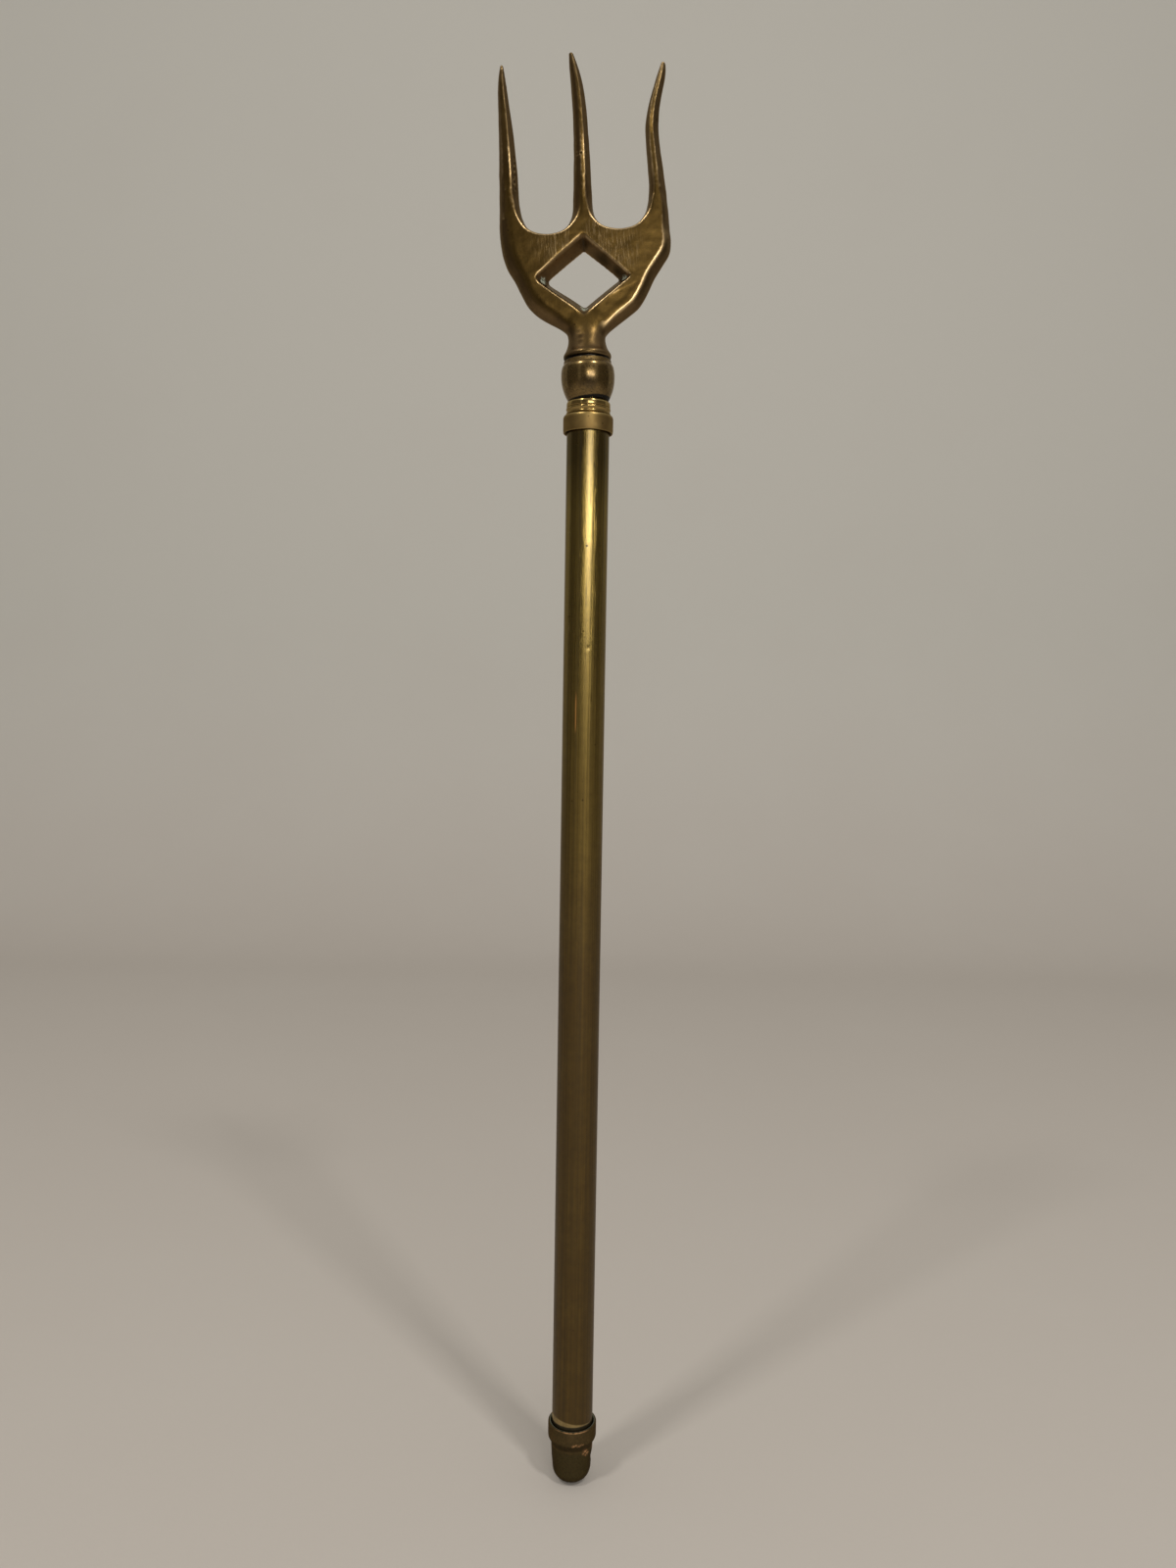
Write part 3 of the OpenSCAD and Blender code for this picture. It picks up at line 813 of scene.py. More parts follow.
        # Sideways faces take the lighter flank brass, which is painted light.
        colour = graph.layers(
            graph.blend(flat, self.lit_flank, graph.blend(cloud, self.brown, self.golden)),
            (self.bare, filed, 0.22), (self.dark, brush, 0.15), (self.dark, fine, 0.22),
            # painted shade in the seam at the head's foot
            (self.dark, pits, 0.6), (self.bare, bared), (self.dark, graph.span(height, *self.seat)),
            # painted shade with dirt in the dark patches
            (self.dark, hollow), (self.dark, grime_and_shade, 0.8), (self.green, salts, 0.95))
        rough = graph.plus(graph.level(fine, 0.0, 1.0, 0.31, 0.4), graph.times(grime_and_shade, 0.22),
                           graph.times(salts, 0.45), clamp=True)
        metal = graph.math("SUBTRACT", 1.0, graph.most(graph.times(hollow, 0.5), salts), clamp=True)
        relief = graph.plus(graph.times(filed, 0.8), graph.times(brush, flat, 0.25), graph.times(fine, -0.2),
                            graph.times(salts, 0.8), graph.times(pits, -0.5))
        return colour, rough, metal, relief

    def dulled(self, graph: Graph, spot: Feed, across: Feed, height: Feed) -> Socket:
        """Mask of the edges that have stayed dull: the tips, the left arm's inner edge and the gaps' ends."""
        tips = graph.times(graph.span(across, *self.tips_across, 0.6, 1.0), graph.span(height, *self.tips))
        arm = graph.times(graph.span(across, *self.arm_across), graph.span(height, *self.arm), 0.75)
        return graph.most(tips, arm, graph.level(graph.patches(spot, self.dull_spots), 0.0, 0.5))

    def shoulder(self, graph: Graph, normal: Feed, across: Feed, height: Feed) -> Socket:
        """Mask of the rounded shoulder along the right edge of the palm, where the hand rubs it and the front
        lamp reflects: wear and painted highlight.
        """
        tilt = graph.plus(graph.times(graph.axis(normal, "X"), self.shoulder_slope[0]),
                          graph.times(graph.axis(normal, "Z"), self.shoulder_slope[1]))
        return graph.times(graph.level(tilt, 0.09, 0.2), graph.level(tilt, 0.6, 0.4),
                           graph.span(across, *self.shoulder_across), graph.span(height, *self.shoulder_high),
                           graph.span(height, *self.shoulder_low))


@dataclass(frozen=True)
class CapBrass(Finish):
    """Foot with a dull olive brown skin, rubbed rims and a bare coppery scar."""

    slot: str = "dark_brass"
    rim: Colour = (0.4, 0.36, 0.3)
    depth: float = 0.025
    skin: Colour = (0.082, 0.058, 0.024)
    light: Colour = (0.135, 0.088, 0.038)
    # Painted shade: the nose below the chamfer is darkened towards this olive, as brass in shade.
    olive: Colour = (0.06, 0.048, 0.02)
    dirt: Colour = (0.018, 0.015, 0.009)
    rubbed: Colour = (0.30, 0.17, 0.075)
    copper: Colour = (0.56, 0.30, 0.14)
    lichen: Colour = (0.23, 0.25, 0.19)
    scars: tuple[Spot, ...] = (
        (4.2, -5.0, 11.7, 1.6), (4.9, -4.4, 10.8, 1.3), (0.5, -7.5, 14.95, 0.7), (1.5, -7.4, 15.0, 0.8),
        (2.5, -7.1, 15.05, 0.8), (3.4, -6.7, 15.1, 0.7), (6.3, -1.9, 12.0, 1.1))
    ridge_slope: float = -0.55
    ridge_turns: float = 4800.0
    nose_shade: Flat = (12.2, 11.4)
    # Painted shade: darker, rougher bands at the sole, next to the floor, and under the collar's overhang.
    sole: Flat = (2.6, 0.8)
    throat: Flat = (13.6, 1.6)
    inner_rim: Flat = (6.9, 0.24)
    inner_rim_up: Flat = (18.6, 18.9)
    # Coppery outer rim on the front: rubbed metal, and partly a painted highlight.
    outer_rim: Flat = (7.3, 0.26)
    outer_rim_up: Flat = (18.75, 19.0)
    outer_rim_front: Flat = (-5.0, -6.6)

    def paint(self, graph: Graph) -> Surface:
        """Mixes the skin, the rims of the collar, the torn scar, and painted shade on the nose, under the
        collar and at the sole.
        """
        place = graph.place()
        height = graph.axis(place, "Z")
        radius = graph.radius(place)
        worn = graph.wear(place, gain=2.4, start=0.16, unevenness=0.9, scale=500.0)
        cloud = graph.blotches(place, scale=240.0, cover=0.48, softness=0.5)
        fine = graph.blotches(place, scale=1600.0, cover=0.46, softness=0.35)
        pits = graph.specks(place, scale=1000.0, size=0.25, share=0.25)
        slant = graph.plus(height, graph.times(graph.axis(place, "X"), self.ridge_slope))
        ridges = graph.math("SINE", graph.times(slant, self.ridge_turns))
        torn = graph.times(graph.level(graph.patches(place, self.scars), 0.05, 0.5),
                           graph.level(graph.grain(place, 1100.0, 4.0, 0.65), 0.4, 0.52),
                           graph.level(ridges, -0.7, 0.3, 0.15, 1.0))
        inner_rim = graph.times(graph.band(radius, *self.inner_rim), graph.span(height, *self.inner_rim_up))
        outer_rim = graph.times(graph.band(radius, *self.outer_rim), graph.span(height, *self.outer_rim_up),
                                graph.level(graph.grain(place, 420.0, 3.0), 0.42, 0.58),
                                graph.span(graph.axis(place, "Y"), *self.outer_rim_front))
        sole = graph.span(height, *self.sole)
        throat = graph.band(height, *self.throat)
        colour = graph.layers(
            self.skin, (self.light, cloud, 0.8),
            # painted shade on the nose below the chamfer
            (self.olive, graph.span(height, *self.nose_shade, 0.0, 0.7)),
            (self.dirt, fine, 0.35), (self.dirt, pits, 0.5), (self.rubbed, worn["Worn"], 0.45),
            # the coppery outer rim is partly a painted highlight
            (self.dirt, worn["Hollow"]), (self.copper, outer_rim, 0.7), (self.lichen, inner_rim, 0.85),
            # painted shade at the sole and under the collar
            (self.copper, torn, 0.85), (self.dirt, sole, 0.75), (self.dirt, throat, 0.4))
        rough = graph.plus(graph.level(fine, 0.0, 1.0, 0.42, 0.56),
                           graph.times(graph.most(sole, throat), 0.3),
                           graph.times(graph.most(torn, worn["Worn"]), -0.1), clamp=True)
        relief = graph.plus(graph.times(fine, -0.5), graph.times(pits, -1.0), graph.times(torn, 2.0))
        return colour, rough, graph.level(worn["Hollow"], 0.0, 1.0, 0.85, 0.4), relief


@dataclass(frozen=True)
class InnerBrass(Finish):
    """Inner tube: clean gold where the handle covers it, with lines rubbed in by the ferrule."""

    slot: str = "inner_brass"
    depth: float = 0.008
    gold: Colour = (0.52, 0.38, 0.145)
    film: Colour = (0.30, 0.205, 0.075)
    dark: Colour = (0.09, 0.06, 0.025)

    def paint(self, graph: Graph) -> Surface:
        """Mixes the clean metal with thin clouds of film, rubbed lines and specks."""
        place = graph.place()
        cloud = graph.blotches(place, scale=90.0, cover=0.45, softness=0.6)
        lines = graph.streaks(place, across=2600.0, along=9.0, sharpness=0.8)
        fine = graph.streaks(place, across=7000.0, along=30.0, sharpness=0.5)
        specks = graph.specks(place, scale=380.0, size=0.16, share=0.14)
        colour = graph.layers(self.gold, (self.film, cloud, 0.6), (self.film, lines, 0.3),
                              (self.dark, specks, 0.7))
        rough = graph.plus(graph.level(cloud, 0.0, 1.0, 0.2, 0.34), graph.times(lines, 0.08), clamp=True)
        return colour, rough, 1.0, graph.plus(graph.times(lines, 0.6), graph.times(fine, 0.4))


@dataclass(frozen=True)
class ShopMetal(Finish):
    """Plain working metal of the hidden pieces, with tool rings and a little dulling."""

    slot: str = "steel"
    clean: Colour = (0.42, 0.41, 0.39)
    dull: Colour = (0.20, 0.19, 0.175)
    rough: float = 0.36

    def paint(self, graph: Graph) -> Surface:
        """Mixes clean and dulled metal under fine tool rings."""
        place = graph.place()
        cloud = graph.blotches(place, scale=420.0, cover=0.5, softness=0.5)
        rough = graph.level(cloud, 0.0, 1.0, self.rough - 0.06, self.rough + 0.1)
        return graph.blend(cloud, self.clean, self.dull), rough, 1.0, graph.rings(place, 4200.0)


# Pieces of the handle

@dataclass
class HandleTube:
    """Drawn tube of the handle, with the small dings of use."""

    finish: Finish = DrawnBrass()
    wall: float = 0.8
    facets: int = 144
    ring_gap: float = 0.6
    dings: tuple[Spot, ...] = (
        (10.0, 261.0, 0.08, 0.8), (-28.0, 264.0, 0.07, 2.2), (30.0, 246.0, 0.06, 2.6),
        (-12.0, 289.0, 0.06, 1.4), (-52.0, 267.0, 0.09, 1.3), (-35.0, 240.0, 0.07, 2.4),
        (20.0, 150.0, 0.08, 2.6), (115.0, 210.0, 0.1, 1.8), (200.0, 180.0, 0.1, 2.2))

    def build(self) -> Thing:
        """Turns the tube in its place and dents it."""
        outer, bottom, top = tube_size("handle_tube")
        inner = outer - self.wall
        rows = np.linspace(bottom, top, round((top - bottom) / self.ring_gap) + 1)
        profile = [(outer, float(z)) for z in rows] + [(inner, top), (inner, bottom)]
        tube = lathe("handle_tube_look", profile, self.facets)
        press(tube, dents_round(outer, self.dings))
        return finish_piece(tube, self.finish, Body.HANDLE, ("handle_tube",), 40)


@dataclass
class TopFerrule:
    """Stepped ferrule: wide band, two beads and the drum that the inner tube runs in."""

    finish: Finish = TurnedBrass()
    band: float = 7.45
    band_tall: float = 5.15
    drum: float = 6.5
    drum_up: float = 2.45
    bead: float = 6.62
    bead_half: float = 0.2
    bead_rises: Flat = (0.55, 1.85)
    groove: float = 6.22
    bore: float = 4.83
    seat: float = 6.4
    seat_depth: float = 4.9
    mouth: float = 0.55
    facets: int = 144
    step: float = 0.24

    def profile(self, bottom: float, top: float) -> list[Corner]:
        """Corners of the turned profile between two heights."""
        shoulder = bottom + self.band_tall
        inside = bottom + self.seat_depth
        corners = [(self.seat, bottom + 1.2, 0.0), (self.seat + self.mouth, bottom + 0.05, 0.15),
                   (self.band - 0.12, bottom, 0.3), (self.band, bottom + 0.9, 0.3),
                   (self.band, shoulder - 0.2, 1.0), (self.drum, shoulder + 0.1, 0.2),
                   (self.groove, shoulder + 0.25, 0.1)]
        for rise in self.bead_rises:
            middle = shoulder + rise
            corners += [(self.bead, middle - self.bead_half, 0.2), (self.bead, middle + self.bead_half, 0.2),
                        (self.groove, middle + 0.42, 0.1)]
        corners += [(self.drum, shoulder + self.drum_up, 0.15), (self.drum, top, 0.8), (self.bore, top, 0.2),
                    (self.bore, inside, 0.0), (self.seat, inside, 0.0)]
        return corners

    def build(self) -> Thing:
        """Turns the ferrule in its place."""
        low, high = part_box("top_ferrule")
        points = round_corners(self.profile(low[2] / MM, high[2] / MM), self.step)
        ferrule = lathe("top_ferrule_look", points, self.facets)
        mark_edges(ferrule)
        return finish_piece(ferrule, self.finish, Body.HANDLE, ("top_ferrule",), 50)


@dataclass
class EndCap:
    """Foot of the handle: round nose, land with a torn chip, chamfer and recessed collar."""

    finish: Finish = CapBrass()
    nose: float = 5.2
    nose_power: float = 2.3
    nose_parts: int = 24
    land: tuple[Flat, ...] = ((6.02, 5.2), (6.17, 6.6), (6.33, 8.2), (6.45, 10.2), (6.53, 12.0), (6.66, 12.9))
    chip_radius: float = 6.45
    collar: float = 7.55
    collar_low: float = 14.5
    collar_top: float = 19.2
    recess: float = 6.75
    recess_floor: float = 14.7
    spigot: float = 5.5
    facets: int = 160
    step: float = 0.27
    chips: tuple[Spot, ...] = (
        (40.0, 12.0, 0.34, 0.7), (47.0, 11.2, 0.42, 0.8), (43.0, 11.4, -0.32, 0.35),
        (50.0, 10.7, -0.3, 0.35), (37.0, 11.5, -0.2, 0.4), (54.0, 10.4, 0.3, 0.6), (32.0, 11.5, 0.16, 0.7),
        (12.0, 11.8, 0.12, 1.0), (84.0, 8.2, 0.5, 1.9), (80.0, 7.0, 0.3, 1.5), (88.0, 9.4, 0.3, 1.4),
        (95.0, 7.6, 0.35, 1.8), (18.0, 13.2, -0.1, 0.8), (28.0, 13.2, -0.1, 0.8))

    def profile(self, top: float) -> list[Corner]:
        """Corners of the turned profile up to the top of the spigot."""
        corners = []
        power = 2 / self.nose_power
        for k in range(self.nose_parts + 1):
            way = math.pi / 2 * k / self.nose_parts
            radius = self.land[0][0] * math.sin(way) ** power
            corners.append((radius, self.nose * (1 - math.cos(way) ** power), 0.0))
        corners += [(radius, height, 0.2) for radius, height in self.land[1:]]
        corners += [(self.collar, self.collar_low, 0.5), (self.collar, self.collar_top, 0.5),
                    (self.recess, self.collar_top, 0.12), (self.recess, self.recess_floor, 0.0),
                    (self.spigot, self.recess_floor, 0.0), (self.spigot, top, 0.3), (0.0, top, 0.0)]
        return corners

    def build(self) -> Thing:
        """Turns the cap in its place and breaks the chip out of its land."""
        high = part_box("end_cap")[1]
        cap = lathe("end_cap_look", round_corners(self.profile(high[2] / MM), self.step), self.facets)
        press(cap, dents_round(self.chip_radius, self.chips))
        mark_edges(cap)
        return finish_piece(cap, self.finish, Body.HANDLE, ("end_cap",), 50)


# Pieces of the fork

def seat_on_axis(piece: Thing, height: float) -> None:
    """Sets a piece made at the origin on the leaning axis, so far above its foot, and applies that."""
    way = math.radians(AXIS_LEAN)
    only(piece)
    piece.rotation_euler = (0.0, -way, 0.0)
    piece.location = Vector((-height * math.sin(way), 0.0, AXIS_FOOT + height * math.cos(way))) * MM
    bpy.ops.object.transform_apply(location=True, rotation=True, scale=True)


@dataclass
class InnerTube:
    """Tube that is drawn out of the handle."""

    finish: Finish = InnerBrass()
    wall: float = 0.8
    chamfer: Flat = (0.25, 0.3)
    facets: int = 96
    ring_gap: float = 6.0

    def build(self) -> Thing:
        """Turns the tube in its place."""
        outer, bottom, top = tube_size("inner_tube")
        inner = outer - self.wall
        rows = np.linspace(bottom + self.chamfer[1], top, round((top - bottom) / self.ring_gap))
        profile = [(outer - self.chamfer[0], bottom)] + [(outer, float(z)) for z in rows]
        tube = lathe("inner_tube_look", profile + [(inner, top), (inner, bottom)], self.facets)
        return finish_piece(tube, self.finish, Body.FORK, ("inner_tube",), 40)


@dataclass
class BallKnop:
    """Turned ball with a plain band above it and a socket for the inner tube below."""

    finish: Finish = KnopBrass()
    arc: float = 13.25
    arc_centre: float = -5.3
    arc_parts: int = 30
    widest: float = 7.0
    shoulder: float = 9.1
    shoulder_arc: float = 3.0
    shoulder_end: float = 38.0
    band: float = 7.05
    top: float = 12.0
    groove: float = 6.55
    socket: float = 5.0
    socket_depth: float = 2.2
    stud_hole: float = 2.05
    facets: int = 144
    step: float = 0.28

    def profile(self) -> list[Corner]:
        """Corners of the turned profile, from the socket's mouth up."""
        corners: list[Corner] = [(self.socket, 0.0, 0.1)]
        for k in range(self.arc_parts + 1):
            height = self.shoulder * k / self.arc_parts
            radius = self.arc_centre + math.sqrt(self.arc**2 - (height - self.widest) ** 2)
            corners.append((radius, height, 0.0))
        start = math.asin((self.shoulder - self.widest) / self.arc)
        for way in np.linspace(start, math.radians(self.shoulder_end), 9)[1:]:
            corners.append((radius - self.shoulder_arc * (math.cos(start) - math.cos(way)),
                            self.shoulder + self.shoulder_arc * (math.sin(way) - math.sin(start)), 0.0))
        corners += [(self.band, corners[-1][1] + 0.12, 0.05), (self.band, self.top - 0.42, 0.25),
                    (self.groove, self.top - 0.36, 0.0), (self.groove, self.top, 0.0),
                    (self.stud_hole, self.top, 0.0), (self.stud_hole, self.socket_depth, 0.0),
                    (self.socket, self.socket_depth, 0.0)]
        return corners

    def build(self) -> Thing:
        """Turns the ball and sets it on the leaning axis."""
        knop = lathe("ball_knop_look", round_corners(self.profile(), self.step), self.facets)
        seat_on_axis(knop, 0.0)
        mark_edges(knop)
        return finish_piece(knop, self.finish, Body.FORK, ("ball_knop",), 50)


@dataclass
class Tine:
    """One tine: stations of place, height and width, its forward bend, and where its front ridge lies."""

    stations: tuple[Corner, ...]
    forward: tuple[Flat, ...]
    ridge: Flat
    round_left: float
    thick: float = 5.0
    root: float = 5.5
    parts: int = 6

    def section(self, middle: float, height: float, width: float, crown: float) -> list[Corner]:
        """Points round the tine at one height."""
        depth = min(self.thick, 0.5 + 0.95 * width)
        heights, bends = zip(*curve_through(self.forward, self.parts))
        bend = float(np.interp(height, heights, bends))
        sink = crown * middle**2
        low, high = self.ridge
        outline = [(0.0, 0.3), (0.0, -0.02), (low * 0.35, -0.26 - 0.12 * self.round_left), (low, -0.5),
                   (high, -0.5), (1.0, -0.02), (1.0, 0.3), (0.86, 0.5), (0.14, 0.5)]
        left = middle - width / 2
        return [(left + f * width, d * depth - bend + (sink if d < 0 else 0.0), height) for f, d in outline]

    def build(self, name: str, crown: float) -> Thing:
        """Bridges the sections into a tine that starts inside the palm and follows its crown."""
        first = self.stations[0]
        rows = [(first[0], first[1] - self.root, first[2])] + curve_through(self.stations, self.parts)
        return skin(name, [self.section(*row, crown) for row in rows])


@dataclass
class ForkHead:
    """Cast head: neck, pierced palm and three faceted tines."""

    finish: Finish = CastBrass()
    seat_height: float = 13.8
    half_thick: float = 2.5
    voxel: float = 0.23
    smoothing: int = 4
    bevel_depth: float = 2.9
    brow: float = 0.28
    brow_ease: float = 2.3
    edge_steps: tuple[float, ...] = (0.0, 0.04, 0.1, 0.18, 0.28, 0.4, 0.55, 0.7, 0.85, 1.0)
    crown: float = 0.001
    roll_depth: float = 3.5
    back_bevel: Flat = (0.7, 1.8)
    stud_hole: Flat = (2.05, 4.2)
    waves: tuple[Flat, ...] = ((4.0, 0.1), (11.0, 0.3))
    neck_filed: tuple[float, ...] = (2.0, 5.0, 11.0, 14.0)
    roots_filed: tuple[float, ...] = (38.5, 42.0, 49.0, 52.0)
    rim_slopes: Flat = (0.813, -0.882)
    rim_reach: Flat = (0.7, 1.6)
    rim_half: float = 13.0
    pits: tuple[Spot, ...] = (
        (-19.9, 49.5, 0.35, 0.8), (-19.7, 51.6, 0.3, 0.7), (-20.1, 53.2, 0.32, 0.8),
        (-19.6, 54.8, 0.25, 0.6), (-20.2, 56.4, 0.2, 0.6), (-19.5, 47.8, 0.22, 0.7))
    crease: tuple[float, ...] = (-1.6, -0.9, -0.2, 0.5, 1.1)
    crease_up: float = 56.4
    left_edge: tuple[Corner, ...] = (
        (-4.6, 3.0, 0.9), (-5.3, 5.3, 1.3), (-6.94, 7.02, 2.5), (-10.5, 9.08, 4.0), (-14.11, 11.24, 4.3),
        (-17.08, 14.37, 4.5), (-19.02, 17.96, 4.3), (-20.9, 21.9, 4.3), (-22.72, 25.02, 4.6),
        (-24.13, 29.19, 4.5), (-24.74, 33.72, 4.3), (-24.92, 38.84, 4.0), (-24.7, 43.5, 3.6),
        (-23.3, 48.5, 1.5))
    left_gap: tuple[Corner, ...] = (
        (-20.0, 48.5, 1.2), (-18.75, 43.8, 1.9), (-18.1, 40.2, 1.7), (-16.3, 36.7, 1.2), (-12.2, 35.0, 1.0),
        (-8.0, 35.3, 1.0), (-5.7, 36.4, 1.2), (-3.6, 39.6, 1.9), (-2.95, 43.8, 2.6), (-1.5, 48.5, 1.2))
    right_gap: tuple[Corner, ...] = (
        (1.4, 48.5, 1.2), (2.65, 43.8, 1.7), (3.4, 39.6, 1.3), (5.4, 37.2, 1.0), (9.9, 35.9, 0.9),
        (13.0, 36.2, 0.9), (15.4, 37.2, 1.0), (18.1, 40.3, 1.1), (19.1, 43.8, 1.1), (20.4, 48.5, 1.0))
    right_edge: tuple[Corner, ...] = (
        (23.4, 48.5, 1.4), (24.8, 43.8, 2.3), (25.35, 35.84, 2.5), (25.66, 31.83, 2.7), (25.19, 28.84, 2.9),
        (23.04, 25.33, 3.0), (20.36, 21.4, 3.0), (18.17, 16.94, 3.0), (15.49, 12.95, 2.9),
        (12.33, 10.49, 2.8), (8.66, 7.84, 2.3), (5.75, 5.37, 1.0), (4.6, 3.0, 0.9))
    pierce_front: tuple[Corner, ...] = (
        (-0.5, 34.3, 0.5), (-16.0, 21.7, 2.6), (-0.63, 10.65, 0.6), (13.87, 21.63, 0.9))
    pierce_back: tuple[Corner, ...] = (
        (-0.07, 30.35, 0.5), (-11.4, 21.6, 1.9), (-0.27, 14.24, 0.5), (10.06, 21.9, 0.7))
    neck: tuple[Corner, ...] = (
        (-1.8, 6.55, 6.55), (-1.58, 6.92, 6.92), (-1.1, 7.12, 7.12), (-0.6, 7.08, 7.08),
        (-0.15, 6.85, 6.85), (0.4, 6.5, 6.45), (1.2, 6.1, 6.0), (2.1, 5.78, 5.6), (3.1, 5.58, 5.2),
        (4.2, 5.5, 4.75), (5.2, 5.65, 4.35), (6.3, 6.0, 3.95), (7.4, 6.9, 3.6), (8.6, 8.5, 3.25),
        (9.8, 10.0, 2.9), (11.2, 11.2, 2.55), (12.6, 11.8, 2.2))
    tines: tuple[Tine, ...] = (
        Tine(stations=((-21.75, 44.5, 5.9), (-21.7, 48.6, 5.65), (-21.85, 58.2, 4.75), (-22.2, 67.5, 3.75),
                       (-22.6, 75.6, 2.5), (-22.6, 79.2, 1.6), (-22.5, 81.0, 0.9)),
             forward=((40.0, 0.0), (46.0, 0.0), (50.0, 0.15), (60.0, 1.4), (64.0, 1.8), (70.0, 2.4),
                      (81.0, 4.2)),
             ridge=(0.55, 0.68), round_left=1.0),
        Tine(stations=((-0.15, 44.5, 5.7), (-0.05, 52.9, 5.05), (-0.14, 62.5, 4.35), (-0.4, 69.5, 4.0),
                       (-1.1, 76.2, 3.35), (-2.0, 81.4, 2.2), (-2.4, 83.3, 1.3)),
             forward=((40.0, 0.0), (44.0, 0.0), (48.0, 0.3), (55.3, 1.0), (57.0, 1.25), (60.2, 1.9),
                      (64.5, 2.3), (75.0, 3.4), (80.0, 4.1), (83.3, 4.9)),
             ridge=(0.42, 0.68), round_left=0.5),
        Tine(stations=((22.0, 44.5, 5.6), (21.95, 47.4, 5.1), (21.45, 53.3, 4.45), (20.9, 59.5, 4.1),
                       (20.75, 65.6, 3.9), (21.45, 70.1, 3.4), (22.9, 75.4, 2.95), (23.85, 78.9, 2.2),
                       (24.2, 80.9, 1.3)),
             forward=((40.0, 0.0), (48.0, 0.0), (60.0, 0.45), (64.5, 0.8), (68.0, 1.48), (72.0, 1.95),
                      (76.0, 2.6), (80.9, 3.75)),
             ridge=(0.22, 0.58), round_left=0.0))

    def outline(self) -> tuple[np.ndarray, np.ndarray, np.ndarray]:
        """Outline of the palm.

        Returns:
            Its points, its bevel widths, and how softly each point is rolled.
        """
        rows: list[tuple[float, ...]] = []
        soft: list[float] = []
        for side, softness in ((self.left_edge, 1.0), (self.left_gap, 0.3), (self.right_gap, 0.2),
                               (self.right_edge, 0.45)):
            part = curve_through(side, 4)
            rows += part
            soft += [softness] * len(part)
        table = np.array(rows)
        return table[:, :2], table[:, 2], np.array(soft)

    def palm(self) -> Thing:
        """Bridges the rings of the palm, with a rolled left edge and a bevelled right one."""
        points, bevel, soft = self.outline()
        along = np.roll(points, -1, 0) - np.roll(points, 1, 0)
        inward = np.stack([along[:, 1], -along[:, 0]], 1) / np.linalg.norm(along, axis=1)[:, None]
        rings = []
        for t in self.edge_steps:
            way = t * math.pi / 2
            fall = t * t / (2 * self.brow) if t < self.brow else t - self.brow / 2
            ease = self.brow_ease * max(0.0, self.brow - t) ** 2
            share = (1 - t + ease) * (1 - soft) + (1 - math.sin(way)) * soft
            deep = self.bevel_depth * fall / (1 - self.brow / 2) * (1 - soft)
            deep = deep + self.roll_depth * (1 - math.cos(way)) * soft
            inset = points + inward * (bevel * share)[:, None]
            rings.append([(u, d - self.half_thick + self.crown * u**2, v) for (u, v), d in zip(inset, deep)])
        width, start = self.back_bevel
        rings.append([(u, start, v) for u, v in points])
        rings.append([(u, self.half_thick, v) for u, v in points + inward * width])
        return skin("palm", rings)

    def throat(self) -> Thing:
        """Bridges the neck, from its round foot to where it runs out flat in the palm."""
        rings = []
        turns = np.linspace(0.0, math.tau, 72, endpoint=False)
        for height, wide, deep in curve_through(self.neck, 2):
            rings.append([(wide * math.cos(a), deep * math.sin(a), height) for a in turns])
        return skin("throat", rings)

    def piercing(self) -> Thing:
        """Cutter for the four-cornered piercing, narrower at the back."""
        front = np.array(round_corners(self.pierce_front, 40.0))
        back = np.array(round_corners(self.pierce_back, 40.0))
        reach = self.half_thick
        rings = []
        for depth, share in ((-reach - 0.8, -0.1), (-reach, 0.0), (-reach + 0.7, 0.24), (reach, 1.0),
                             (reach + 0.8, 0.98)):
            rings.append([(u, depth, v) for u, v in front + (back - front) * share])
        return skin("piercing", rings)

    def on_head(self, u: float, y: float, v: float) -> Vector:
        """Place in the frame, in millimetres, of a point given in the head's own directions."""
        way = math.radians(AXIS_LEAN)
        up = self.seat_height + v
        return Vector((u * math.cos(way) - up * math.sin(way), y,
                       AXIS_FOOT + up * math.cos(way) + u * math.sin(way)))

    def build(self) -> Thing:
        """Casts the head in one, files it and sets it on the leaning axis."""
        palm = self.palm()
        radius, deep = self.stud_hole
        hole = lathe("hole", [(0.0, -3.0), (radius, -3.0), (radius, deep), (0.0, deep)], 48)
        for tool, work in ((self.throat(), "UNION"), (self.piercing(), "DIFFERENCE"), (hole, "DIFFERENCE")):
            apply_modifier(palm, "BOOLEAN", operation=work, object=tool, solver="MANIFOLD")
            bpy.data.objects.remove(tool)
        tines = [tine.build(f"tine_{k}", self.crown) for k, tine in enumerate(self.tines)]
        head = join("fork_head_look", [palm, *tines])
        apply_modifier(head, "REMESH", mode="VOXEL", voxel_size=self.voxel * MM)
        apply_modifier(head, "SMOOTH", factor=0.5, iterations=self.smoothing)
        self.file_soft(head)
        seat_on_axis(head, self.seat_height)
        for size, strength in self.waves:
            waves = bpy.data.textures.new("cast_waves", "CLOUDS")
            waves.noise_scale = size * MM
            apply_modifier(head, "DISPLACE", texture=waves, texture_coords="LOCAL", strength=strength * MM,
                           mid_level=0.5)
        self.scar(head)
        mark_edges(head, rounds=3)
        return finish_piece(head, self.finish, Body.FORK, ("fork_head",), 60)

